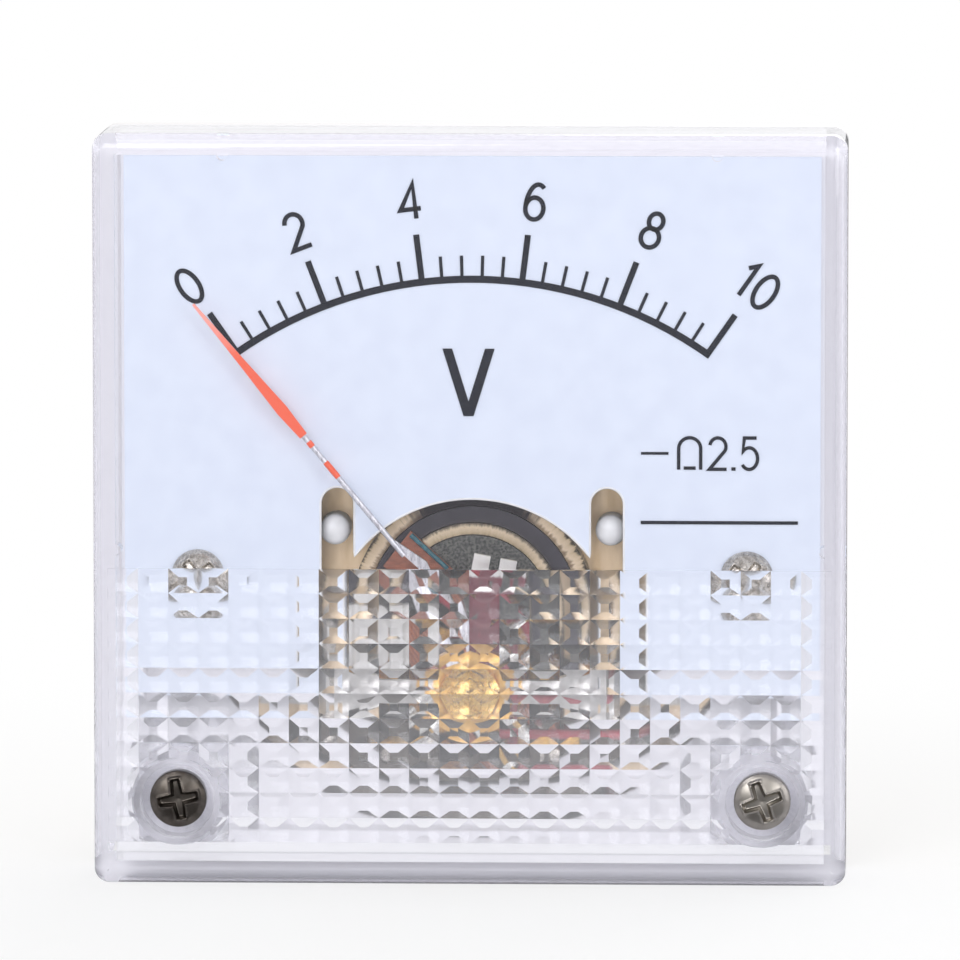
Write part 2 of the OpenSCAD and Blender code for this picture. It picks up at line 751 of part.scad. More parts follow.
// The enamelled wire along the wedge's upper edge
module blue_lead() color([0.2, 0.42, 0.5]) in_panel() at_pivot() translate([0, 0, insulator_z + blue_r]) {
    run = wedge_corners[1] - wedge_corners[0];
    translate(wedge_corners[0]) rotate([0, 0, atan2(run[1], run[0])]) translate([0, -blue_r])
        lying_rod(blue_r, blue_r, norm(run) - 2 * blue_r);
}

// A moulded block with a groove for wires
module wire_guide() color([0.9, 0.9, 0.9]) in_panel() translate(guide_at) difference() {
    slab(yoke_z, yoke_z + guide_t) soft_square(guide_w, guide_w, guide_w / 6);
    translate([0, 0, yoke_z + guide_t]) rotate([90, 0, 0])
        cylinder(r = guide_groove_r, h = guide_w + 2 * over, center = true);
}

// The insulated lead from the wedge, round the pivot, down the yoke's side and to the right terminal
module red_lead() color([0.7, 0.14, 0.14]) in_panel() {
    z = insulator_z + 0.1 + red_r;
    bend_r = bore_r;
    bend = [-bore_r / 2, pivot_y + 3 * red_r];
    bend_angle = 74;
    bend_start = bend + bend_r * [cos(bend_angle), sin(bend_angle)];
    corner_x = bend[0] + bend_r;
    side_x = yoke_r + bridge_clear + bridge_t / 2 + red_r + eps;
    down_y = pivot_y - bridge_w / 2 - 1.5;
    end_x = terminal_pitch / 2 - terminal_r;
    end_y = terminal_y - terminal_r / 2;
    run_z = floor_z + terminal_head_h + 7 * red_r;
    translate([bend[0], bend[1], z]) rotate_extrude(angle = bend_angle, start = 0)
        translate([bend_r, 0]) circle(red_r);
    translate(bend_start) rod(1.6 * red_r, insulator_z, z);
    wire([[corner_x, bend[1], z], [corner_x, down_y, z], [side_x, down_y, z], [side_x, down_y, run_z],
        [end_x, down_y, run_z], [end_x, end_y, run_z], [end_x, end_y, floor_z + terminal_head_h]], red_r);
}

// A round wire through a list of points
module wire(points, r) {
    for (i = [0 : len(points) - 2]) {
        step = points[i + 1] - points[i];
        lean = atan2(norm([step[0], step[1]]), step[2]);
        translate(points[i]) rotate([0, lean, atan2(step[1], step[0])])
            cylinder(r = r, h = norm(step), $fn = 16);
    }
    for (i = [1 : len(points) - 2]) translate(points[i]) sphere(r, $fn = 16);
}

module stop_pins() color([0.75, 0.73, 0.68]) in_panel() for (s = sides)
    at_pivot(180 + s * (sweep / 2 + under_travel + stop_turn)) translate([0, stop_at])
        rod(stop_r, yoke_z, pointer_z + hub_h);

// A strip across the pivot, two legs and two feet; it stands on the movement frame
// A strip that narrows from both ends towards its middle
module waisted(reach, half, waist) {
    inner = reach - bridge_taper;
    polygon([for (s = sides) each [[-s * reach, -s * half], [-s * inner, -s * waist],
        [s * inner, -s * waist], [s * reach, -s * half]]]);
}

module bridge(strip_from, strip_to, foot_from, foot_to, leg_from, leg_to) difference() {
    translate([0, pivot_y]) {
        slab(strip_from, strip_to) {
            waisted(bridge_span / 2 + bridge_t, bridge_w / 2, bridge_waist / 2);
            circle(bridge_w / 2 + bridge_eye);
        }
        for (s = sides) {
            slab(leg_from, leg_to) translate([s * (bridge_span + bridge_t) / 2, 0])
                square([bridge_t, bridge_w], center = true);
            slab(foot_from, foot_to) translate([s * (foot_pitch - eps) / 2, 0])
                square([foot_len + eps, bridge_w], center = true);
        }
    }
    at_pivot() rod(jewel_r + hole_gap, strip_from - over, strip_to + over);
    both_sides(foot_pitch, pivot_y) rod(bridge_screw_r + hole_gap, foot_from - over, foot_to + over);
}

module front_bridge() color([0.8, 0.76, 0.66]) in_panel()
    bridge(bridge_z, bridge_top, frame_z, frame_z + bridge_t, frame_z, bridge_top);

module rear_bridge() color([0.8, 0.76, 0.66]) in_panel()
    bridge(rear_bridge_z, rear_bridge_top, frame_back - bridge_t, frame_back, rear_bridge_z, frame_back);

module bridge_screws() color([0.78, 0.76, 0.72]) in_panel() both_sides(foot_pitch, pivot_y) difference() {
    foot_top = frame_z + bridge_t;
    union() {
        rod(bridge_head_r, foot_top, foot_top + bridge_head_h);
        rod(bridge_screw_r, frame_back - bridge_t - bridge_nut_h - tip_h, foot_top);
    }
    slab(foot_top + bridge_head_h / 2, foot_top + bridge_head_h + over)
        square([3 * bridge_head_r, driver_slot_w], center = true);
}

module bridge_nuts() color([0.78, 0.66, 0.4]) in_panel() both_sides(foot_pitch, pivot_y) difference() {
    nut_z = frame_back - bridge_t - bridge_nut_h;
    translate([0, 0, nut_z]) cylinder(r = bridge_head_r, h = bridge_nut_h, $fn = 6);
    rod(bridge_screw_r + hole_gap, nut_z - over, frame_back);
}

// A screw with a blind bore for the pivot at its inner end and a slot at its outer end
module jewel_screw(length) difference() {
    rod(jewel_r, 0, length);
    rod(staff_r + run_gap, -over, jewel_bore);
    slab(length - jewel_slot_d, length + over) square([3 * jewel_r, driver_slot_w], center = true);
}

module front_jewel_screw() color([0.85, 0.68, 0.35]) in_panel() at_pivot()
    translate([0, 0, jewel_z]) jewel_screw(jewel_top - jewel_z);

module rear_jewel_screw() color([0.85, 0.68, 0.35]) in_panel() at_pivot()
    translate([0, 0, rear_bridge_top + jewel_boss]) mirror([0, 0, 1])
        jewel_screw(bridge_t + jewel_boss + 2 * jewel_nut_h);

module jewel_nuts() color([0.78, 0.66, 0.4]) in_panel() at_pivot() difference() {
    union() {
        translate([0, 0, bridge_top]) cylinder(r = jewel_nut_r, h = jewel_nut_h, $fn = 6);
        translate([0, 0, rear_bridge_z - jewel_nut_h]) cylinder(r = jewel_nut_r, h = jewel_nut_h, $fn = 6);
    }
    rod(jewel_r + hole_gap, rear_bridge_z - 2 * over, bridge_top + 2 * over);
}

// A rectangular ring in the plane of the coil, seen from its side
module coil_ring(half_w, half_h, wall, width) difference() {
    translate([0, 0, core_mid]) cube([width, 2 * (half_w + wall), 2 * (half_h + wall)], center = true);
    translate([0, 0, core_mid]) cube([width + over, 2 * half_w, 2 * half_h], center = true);
}

module coil_former() color([0.78, 0.78, 0.8]) in_panel() at_pivot(rest_angle)
    coil_ring(coil_r, former_in, former_t, coil_w + 0.2);

module coil_winding() color([0.72, 0.36, 0.2]) in_panel() at_pivot(rest_angle)
    coil_ring(coil_r + former_t, former_out, winding_t, coil_w);

module front_staff() color([0.7, 0.7, 0.72]) in_panel() at_pivot() {
    rod(staff_foot_r, coil_front, coil_front + staff_foot_h);
    rod(staff_r, coil_front, jewel_z + jewel_bore - pivot_play);
    rod(collet_r, spring_z, spring_z + spring_w);
}

module rear_staff() color([0.7, 0.7, 0.72]) in_panel() at_pivot() {
    rod(staff_foot_r, coil_rear - staff_foot_h, coil_rear);
    rod(staff_r, rear_bridge_top + jewel_boss - jewel_bore + pivot_play, coil_rear);
    rod(collet_r, rear_spring_z, rear_spring_z + spring_w);
}

// A flat arm that grips a thin tube on its face
// A place on the pointer's line, which meets the line from the pivot at the tip
function on_pointer(at) = let (back = pointer_len - at)
    [back * sin(pointer_lean), pointer_len - back * cos(pointer_lean)];

module along_pointer()
    translate(on_pointer(0)) rotate([0, 0, pointer_lean]) children();

module pointer_arm() color([0.82, 0.82, 0.84]) in_panel() at_pivot(rest_angle) {
    top = pointer_z + hub_h;
    end = on_pointer(tube_start) + [arm_step, 0];
    grip = on_pointer(tube_start + grip_len);
    difference() {
        slab(pointer_z, top) {
            circle(hub_r);
            polygon([[-arm_foot_w / 2, 0], [arm_foot_w / 2, 0], end + [arm_end_w / 2, 0], grip + [tube_r, 0],
                grip - [tube_r, 0], end - [arm_end_w / 2, 0]]);
        }
        rod(staff_r + eps, pointer_z - over, pointer_z + over);
    }
    along_pointer() translate([0, tube_start + grip_len / 2, top]) rotate([-90, 0, 0])
        cylinder(r = tube_r, h = blade_start - tube_start - grip_len / 2, $fn = 24);
}

module pointer_blade() color([0.93, 0.35, 0.22]) in_panel() at_pivot(rest_angle) along_pointer()
    slab(pointer_z + hub_h - blade_t / 2, pointer_z + hub_h + blade_t / 2)
        polygon([[-blade_foot_w / 2, blade_start], [blade_foot_w / 2, blade_start],
            [blade_w / 2, blade_wide_at], [blade_neck_w / 2, blade_neck_at], [tip_w / 2, pointer_len],
            [-tip_w / 2, pointer_len], [-blade_neck_w / 2, blade_neck_at], [-blade_w / 2, blade_wide_at]]);

module balance_cross() color([0.8, 0.66, 0.38]) in_panel() at_pivot(rest_angle) difference() {
    union() {
        rod(hub_r, cross_z, pointer_z);
        translate([0, 0, cross_z + hub_h / 2]) {
            lying_rod(wire_r, -arm_reach, arm_reach);
            rotate([0, 0, -90]) lying_rod(wire_r, 0, tail_reach);
        }
    }
    rod(staff_r + eps, cross_z - over, pointer_z + over);
    rod(hub_r + over, pointer_z, pointer_z + over);
}

module balance_weights() color([0.72, 0.7, 0.68]) in_panel() at_pivot(rest_angle)
    translate([0, 0, cross_z + hub_h / 2]) for (turn = [0, 180, -90]) rotate([0, 0, turn]) difference() {
        lying_rod(weight_r, arm_reach - weight_inset - weight_len, arm_reach - weight_inset);
        lying_rod(wire_r + eps, 0, arm_reach + over);
    }

// A forked lever that turns on the front jewel screw and holds the front hairspring's outer end
module zero_lever() color([0.84, 0.83, 0.8]) in_panel() at_pivot(-lever_angle) {
    slab(lever_z, lever_z + lever_t) difference() {
        union() {
            circle(jewel_r + run_gap + lever_ring);
            translate([-lever_w / 2, 0]) square([lever_w, lever_len - fork_len / 2]);
            translate([-fork_w / 2, lever_len - fork_len]) square([fork_w, fork_len]);
        }
        circle(jewel_r + run_gap);
        translate([-fork_slot_w / 2, lever_len - 0.6 * fork_len]) square([fork_slot_w, fork_len]);
    }
    translate([0, spring_end]) rod(spring_pin_r, spring_z, lever_z + eps);
}

// A flat spiral strip, from the collet out to its fixed end
spiral_start = collet_r + run_gap + spring_t / 2;
function spiral_r(t) = spiral_start + (spring_r - spiral_start) * t;
function spiral_angle(t, last) = last - 360 * spring_turns * (1 - t);
function spiral_point(t, off, last) =
    (spiral_r(t) + off) * [cos(spiral_angle(t, last)), sin(spiral_angle(t, last))];

module spiral(last) {
    steps = 48 * spring_turns;
    linear_extrude(spring_w) polygon([
        for (i = [0 : steps]) spiral_point(i / steps, spring_t / 2, last),
        for (i = [steps : -1 : 0]) spiral_point(i / steps, -spring_t / 2, last),
    ]);
}

module front_hairspring() color([0.8, 0.6, 0.3]) in_panel() at_pivot(-lever_angle)
    translate([0, 0, spring_z]) spiral(90);

module rear_hairspring() color([0.8, 0.6, 0.3]) in_panel() at_pivot()
    translate([0, 0, rear_spring_z]) spiral(0);

// The pin on the rear bridge that holds the rear hairspring's outer end
module rear_spring_tag() color([0.8, 0.66, 0.38]) in_panel() at_pivot() translate([spring_end, 0])
    rod(spring_pin_r, rear_bridge_top, rear_spring_z + spring_w);

// Multiplier resistor: a slim body with a fatter band at each end
module resistor() color([0.35, 0.62, 0.75]) in_panel() translate([0, resistor_y, resistor_z]) {
    half = resistor_len / 2;
    lying_rod(0.85 * resistor_r, -half, half);
    for (s = sides) translate([s * 0.72 * half, 0]) lying_rod(resistor_r, -half / 4, half / 4);
}

// One lead goes to the left terminal, the other to the rear bridge
module resistor_leads() color([0.75, 0.75, 0.76]) in_panel() {
    left_x = terminal_r - terminal_pitch / 2;
    left_y = terminal_y - terminal_r / 2;
    right_x = resistor_len / 2 + 3 * lead_r;
    wire([[-resistor_len / 2, resistor_y, resistor_z], [left_x, resistor_y, resistor_z],
        [left_x, left_y, resistor_z], [left_x, left_y, floor_z + terminal_head_h]], lead_r);
    wire([[resistor_len / 2, resistor_y, resistor_z], [right_x, resistor_y, resistor_z],
        [right_x, pivot_y, resistor_z], [right_x, pivot_y, rear_bridge_z]], lead_r);
}

module hex_nut(flats, height, hole_r) difference() {
    cylinder(r = flats / 2 / cos(30), h = height, $fn = 6);
    rod(hole_r, -over, height + over);
}

module terminal_studs() color([0.82, 0.68, 0.4]) in_panel() both_sides(terminal_pitch, terminal_y) {
    end_z = -barrel_len - terminal_len;
    rod(terminal_r, end_z + tip_h, floor_z);
    translate([0, 0, end_z]) cylinder(r1 = terminal_r - tip_h, r2 = terminal_r, h = tip_h);
    translate([0, 0, floor_z]) cylinder(r = nut_flats / 2 / cos(30), h = terminal_head_h, $fn = 6);
}

module terminal_washers() color([0.75, 0.74, 0.7]) in_panel()
both_sides(terminal_pitch, terminal_y) difference() {
    rod(washer_r, terminal_washer_z, pad_z);
    rod(terminal_r + hole_gap, terminal_washer_z - over, pad_z + over);
}

module terminal_nuts() color([0.82, 0.68, 0.4]) in_panel() both_sides(terminal_pitch, terminal_y) {
    translate([0, 0, terminal_nut_z]) hex_nut(nut_flats, nut_h, terminal_r + hole_gap);
    translate([0, 0, terminal_lug_z - nut_h]) hex_nut(nut_flats, nut_h, terminal_r + hole_gap);
}

module terminal_lugs() color([0.8, 0.8, 0.78]) in_panel() both_sides(terminal_pitch, terminal_y)
    slab(terminal_lug_z, terminal_lug_z + lug_t) difference() {
        union() {
            circle(nut_flats / 2 + lug_t / 2);
            translate([-lug_w / 2, 0]) square([lug_w, lug_reach]);
            translate([0, lug_reach]) circle(lug_w / 2);
        }
        circle(terminal_r + hole_gap);
        translate([0, lug_reach]) circle(lug_hole_r);
    }

base();
front_cover();
case_screws();
dial_plate();
scale_marks();
dial_screws();
movement_frame();
yoke();
arc_magnet();
pole_strap();
pole_block();
core();
core_bar();
insulator();
blue_lead();
wire_guide();
red_lead();
stop_pins();
front_bridge();
rear_bridge();
bridge_screws();
bridge_nuts();
front_jewel_screw();
rear_jewel_screw();
jewel_nuts();
coil_former();
coil_winding();
front_staff();
rear_staff();
pointer_arm();
pointer_blade();
balance_cross();
balance_weights();
zero_lever();
front_hairspring();
rear_hairspring();
rear_spring_tag();
resistor();
resistor_leads();
terminal_studs();
terminal_washers();
terminal_nuts();
terminal_lugs();
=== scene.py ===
import math
import bpy
import numpy as np
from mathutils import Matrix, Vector


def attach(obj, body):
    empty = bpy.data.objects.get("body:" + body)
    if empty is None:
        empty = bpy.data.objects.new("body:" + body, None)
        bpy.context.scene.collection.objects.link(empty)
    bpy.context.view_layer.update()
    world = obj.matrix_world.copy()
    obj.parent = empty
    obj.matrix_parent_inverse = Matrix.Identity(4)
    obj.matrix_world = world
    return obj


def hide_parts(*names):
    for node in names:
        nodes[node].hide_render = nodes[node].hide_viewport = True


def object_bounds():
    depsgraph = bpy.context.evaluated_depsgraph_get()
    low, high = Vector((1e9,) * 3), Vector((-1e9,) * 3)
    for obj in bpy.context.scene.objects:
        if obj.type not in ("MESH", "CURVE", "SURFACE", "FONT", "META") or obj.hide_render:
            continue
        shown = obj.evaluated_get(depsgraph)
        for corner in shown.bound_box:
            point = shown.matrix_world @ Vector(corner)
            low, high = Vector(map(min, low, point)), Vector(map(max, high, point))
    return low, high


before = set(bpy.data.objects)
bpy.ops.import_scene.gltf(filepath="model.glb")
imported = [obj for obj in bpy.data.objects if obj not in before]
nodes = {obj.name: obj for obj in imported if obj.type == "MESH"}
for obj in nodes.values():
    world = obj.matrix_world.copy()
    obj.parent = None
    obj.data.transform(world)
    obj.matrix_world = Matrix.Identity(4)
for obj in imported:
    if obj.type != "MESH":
        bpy.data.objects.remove(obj)        # frame["bodies"], ["nodes"], ["joints"], ["record"]
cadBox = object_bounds()
print("frame loaded,", len(nodes), "nodes")

mm = 0.001

# Shared places on the meter, in mm: x to the right, y up the dial, z out of the panel
meter = {
    "pivotY": -11.05,
    "archY": -6.65,
    "sweep": 70.1,          # degrees from the first mark to the last
    "restAngle": 35.8,      # from upright to the pointer's tip, at rest
    "pointerLean": 4.1,     # of the tube, away from the line between pivot and tip
    "pointerLength": 28.5,
    "dialZ": 5.0,
    "inkHeight": 0.05,
    "pointerZ": 6.1,
    "barrelEnd": -20.0,
}


# sRGB hex to linear colour
def linear(hexColour):
    srgb = np.array([int(hexColour[i:i + 2], 16) for i in (1, 3, 5)]) / 255
    rgb = np.where(srgb <= 0.04045, srgb / 12.92, ((srgb + 0.055) / 1.055) ** 2.4)
    return (*rgb.tolist(), 1.0)


# Adds a node: settings are its own properties, and a socket is either linked or given a value
def addNode(tree, kind, sockets=None, **settings):
    node = tree.nodes.new(kind)
    for key, value in settings.items():
        setattr(node, key, value)
    for key, value in (sockets or {}).items():
        if isinstance(value, bpy.types.NodeSocket):
            tree.links.new(value, node.inputs[key])
        else:
            node.inputs[key].default_value = value
    return node


def startMaterial(name):
    material = bpy.data.materials.new(name)
    material.use_nodes = True
    material.node_tree.nodes.clear()
    return material, material.node_tree


# A solid finish: two close colours clouded by noise, a roughness that follows finer noise, and a slight
# relief. grain is the size of the pattern in mm, along x, y and z where it is drawn out by a tool.
def solidFinish(name, light, dark, grain, rough, metallic=0.0, relief=0.0, coat=0.0, spread=(0.35, 0.65),
                specular=0.5):
    material, tree = startMaterial(name)
    sizes = grain if isinstance(grain, tuple) else (grain, grain, grain)
    coords = addNode(tree, "ShaderNodeTexCoord")
    scaled = addNode(tree, "ShaderNodeMapping", {"Vector": coords.outputs["Object"],
                                                 "Scale": [1 / (size * mm) for size in sizes]})
    cloud = addNode(tree, "ShaderNodeTexNoise", {"Vector": scaled.outputs[0], "Scale": 1.0, "Detail": 4.0})
    share = addNode(tree, "ShaderNodeMapRange",
                    {"Value": cloud.outputs[0], "From Min": spread[0], "From Max": spread[1]})
    colour = addNode(tree, "ShaderNodeMix", {0: share.outputs[0], 6: linear(dark), 7: linear(light)},
                     data_type="RGBA")
    wear = addNode(tree, "ShaderNodeTexNoise", {"Vector": scaled.outputs[0], "Scale": 2.3, "Detail": 3.0})
    gloss = addNode(tree, "ShaderNodeMapRange", {"Value": wear.outputs[0], "From Min": 0.3, "From Max": 0.7,
                                                 "To Min": rough[0], "To Max": rough[1]})
    shader = addNode(tree, "ShaderNodeBsdfPrincipled",
                     {"Base Color": colour.outputs[2], "Roughness": gloss.outputs[0], "Metallic": metallic,
                      "Coat Weight": coat, "Specular IOR Level": specular})
    if relief:
        bump = addNode(tree, "ShaderNodeBump", {"Height": wear.outputs[0], "Distance": relief * mm})
        tree.links.new(bump.outputs[0], shader.inputs["Normal"])
    addNode(tree, "ShaderNodeOutputMaterial", {"Surface": shader.outputs[0]})
    return material


finishes = {
    # Nylon, moulded: whiter and waxy
    "nylon, moulded": dict(light="#F4F4F2", dark="#E6E6E4", grain=0.7, rough=(0.3, 0.45), relief=0.004),
    # Nylon left in its natural colour: greyish and milky
    "nylon, natural": dict(light="#DAD8D3", dark="#C8C6C1", grain=0.7, rough=(0.3, 0.45), relief=0.004),
    # White enamel on aluminium sheet: even, faint orange peel
    "enamel, baked on sheet": dict(light="#E2EAF6", dark="#DDE5F2", grain=1.6, rough=(0.42, 0.55),
                                   relief=0.002),
    # Screen-printed ink: near black, slightly blue, broken edges of tone
    "ink, screen-printed": dict(light="#12172A", dark="#0A0D18", grain=0.18, rough=(0.6, 0.8), specular=0.1),
    # Nickel-plated steel, turned: warm grey with fine turning lines
    "nickel, plated and turned": dict(light="#D2CCC2", dark="#9C958B", grain=(0.3, 0.3, 0.3),
                                      rough=(0.16, 0.34), metallic=1.0, relief=0.004),
    # Tinned steel: bright, soft white metal with flow marks
    "tin, hot-dipped": dict(light="#F2F1EC", dark="#C6C3BB", grain=0.5, rough=(0.18, 0.36), metallic=1.0,
                            relief=0.02),
    # Zinc-plated sheet with yellow passivation, brushed up and down
    "zinc, yellow-passivated and brushed": dict(light="#E2CAA8", dark="#CDB28C", grain=(0.9, 2.0, 3.5),
                                                rough=(0.3, 0.4), metallic=1.0, relief=0.002),
    # Soft iron, turned and passivated: golden, with the tool's rings
    "iron, turned and passivated": dict(light="#E8B65E", dark="#B47F33", grain=(0.5, 0.1, 0.5),
                                        rough=(0.2, 0.36), metallic=1.0, relief=0.004),
    # Sintered iron: dark grey and mottled
    "iron, sintered": dict(light="#6B6B66", dark="#3F3F3E", grain=0.16, rough=(0.38, 0.6), metallic=0.6,
                           relief=0.01, spread=(0.42, 0.6)),
    # Brass, turned and left bare: warm yellow
    "brass, turned": dict(light="#E2BE6E", dark="#B88A3E", grain=(0.4, 0.08, 0.4), rough=(0.18, 0.32),
                          metallic=1.0, relief=0.003),
    # Brass sheet, stamped
    "brass, stamped": dict(light="#E9BF6A", dark="#C08B3C", grain=(1.2, 0.4, 0.3), rough=(0.2, 0.36),
                           metallic=1.0, relief=0.004),
    # Phosphor bronze strip, rolled
    "phosphor bronze, rolled": dict(light="#D59A5C", dark="#A86E38", grain=0.3, rough=(0.2, 0.3),
                                    metallic=1.0),
    # Phenolic paper sheet, punched: red-brown, lacquered
    "phenolic paper, punched": dict(light="#A5644C", dark="#83503E", grain=(0.5, 0.5, 0.2),
                                    rough=(0.3, 0.5), relief=0.006),
    # Enamelled copper wire
    "enamelled wire, teal": dict(light="#2F7380", dark="#164650", grain=0.2, rough=(0.2, 0.3), coat=0.5),
    # PVC insulation, extruded
    "PVC, extruded red": dict(light="#B3243C", dark="#8A1226", grain=0.4, rough=(0.28, 0.4), coat=0.3),
    # Aluminium, drawn and anodised clear
    "aluminium, drawn": dict(light="#E4E3E6", dark="#BDBBC0", grain=(0.15, 0.15, 0.8), rough=(0.24, 0.38),
                             metallic=0.9, relief=0.004),
    # Aluminium strip, rolled
    "aluminium, rolled": dict(light="#CFCFD3", dark="#A9A9AE", grain=(0.8, 0.1, 0.1), rough=(0.25, 0.4),
                              metallic=1.0),
}

nodeFinishes = {
    "wire_guide": "nylon, natural",
    "dial_plate": "enamel, baked on sheet",
    "scale_marks": "ink, screen-printed",
    "movement_frame": "zinc, yellow-passivated and brushed",
    "pole_block": "iron, sintered",
    "core": "iron, turned and passivated",
    "core_bar": "brass, stamped",
    "insulator": "phenolic paper, punched",
    "blue_lead": "enamelled wire, teal",
    "red_lead": "PVC, extruded red",
    "stop_pins": "nickel, plated and turned",
    "bridge_screws": "nickel, plated and turned",
    "bridge_nuts": "brass, turned",
    "front_jewel_screw": "brass, turned",
    "rear_jewel_screw": "brass, turned",
    "jewel_nuts": "brass, turned",
    "coil_former": "aluminium, rolled",
    "front_staff": "aluminium, drawn",
    "rear_staff": "aluminium, drawn",
    "pointer_arm": "aluminium, drawn",
    "balance_cross": "brass, turned",
    "balance_weights": "tin, hot-dipped",
    "front_hairspring": "phosphor bronze, rolled",
    "rear_hairspring": "phosphor bronze, rolled",
    "rear_spring_tag": "brass, turned",
    "resistor_leads": "tin, hot-dipped",
    "terminal_washers": "nickel, plated and turned",
    "terminal_nuts": "brass, turned",
    "terminal_lugs": "tin, hot-dipped",
}
materials = {name: solidFinish(name, **values) for name, values in finishes.items()}


# Injection-moulded ABS: soft sheen and a fine spark-eroded grain; neutral on the flange, warmer with depth
# inside the barrel
def mouldedPlastic():
    material, tree = startMaterial("ABS, moulded")
    coords = addNode(tree, "ShaderNodeTexCoord")
    axes = addNode(tree, "ShaderNodeSeparateXYZ", {0: coords.outputs["Object"]})
    cloud = addNode(tree, "ShaderNodeTexNoise",
                    {"Vector": coords.outputs["Object"], "Scale": 1 / (0.5 * mm), "Detail": 4.0})
    depth = addNode(tree, "ShaderNodeMath", {0: cloud.outputs[0], 1: 1.5 * mm, 2: axes.outputs[1]},
                    operation="MULTIPLY_ADD")
    inside = addNode(tree, "ShaderNodeMapRange",
                     {"Value": depth.outputs[0], "From Min": -1 * mm, "From Max": 5 * mm})
    colour = addNode(tree, "ShaderNodeMix",
                     {0: inside.outputs[0], 6: linear("#F1F0F3"), 7: linear("#F4EADF")}, data_type="RGBA")
    gloss = addNode(tree, "ShaderNodeMapRange", {"Value": cloud.outputs[0], "From Min": 0.3, "From Max": 0.7,
                                                 "To Min": 0.36, "To Max": 0.5})
    bump = addNode(tree, "ShaderNodeBump", {"Height": cloud.outputs[0], "Distance": 0.006 * mm})
    shader = addNode(tree, "ShaderNodeBsdfPrincipled",
                     {"Base Color": colour.outputs[2], "Roughness": gloss.outputs[0],
                      "Normal": bump.outputs[0]})
    addNode(tree, "ShaderNodeOutputMaterial", {"Surface": shader.outputs[0]})
    return material


# Clear moulded acrylic: bends light as a solid does, but lets lamp light and bounced light straight
# through, so that what it covers is lit as if the cover were open. The window is polished. The prism band,
# below bandTop, is a little rough, and milkier towards bandFoot.
def clearAcrylic():
    material, tree = startMaterial("acrylic, moulded clear")
    bandTop, bandFoot = -3.5, -17
    coords = addNode(tree, "ShaderNodeTexCoord")
    flow = addNode(tree, "ShaderNodeTexNoise",
                   {"Vector": coords.outputs["Object"], "Scale": 1 / (9 * mm), "Detail": 1.0})
    bump = addNode(tree, "ShaderNodeBump", {"Height": flow.outputs[0], "Distance": 0.012 * mm})
    axes = addNode(tree, "ShaderNodeSeparateXYZ", {0: coords.outputs["Object"]})
    below = addNode(tree, "ShaderNodeMapRange", {"Value": axes.outputs[2], "From Min": bandTop * mm,
                                                 "From Max": (bandTop - 0.1) * mm})
    haze = addNode(tree, "ShaderNodeMath", {0: below.outputs[0], 1: 0.1}, operation="MULTIPLY")
    milky = addNode(tree, "ShaderNodeMapRange", {"Value": axes.outputs[2], "From Min": bandTop * mm,
                                                 "From Max": bandFoot * mm, "To Min": 0.97, "To Max": 0.88})
    clarity = addNode(tree, "ShaderNodeMix", {0: below.outputs[0], 2: 1.0, 3: milky.outputs[0]})
    glass = addNode(tree, "ShaderNodeBsdfPrincipled",
                    {"Base Color": linear("#F6F6FA"), "IOR": 1.49,
                     "Transmission Weight": clarity.outputs[0], "Roughness": haze.outputs[0],
                     "Normal": bump.outputs[0]})
    path = addNode(tree, "ShaderNodeLightPath")
    through = addNode(tree, "ShaderNodeMath", {0: path.outputs["Is Shadow Ray"],
                                               1: path.outputs["Is Diffuse Ray"]}, operation="MAXIMUM")
    clear = addNode(tree, "ShaderNodeBsdfTransparent", {"Color": linear("#FCFCFE")})
    both = addNode(tree, "ShaderNodeMixShader",
                   {0: through.outputs[0], 1: glass.outputs[0], 2: clear.outputs[0]})
    addNode(tree, "ShaderNodeOutputMaterial", {"Surface": both.outputs[0]})
    return material
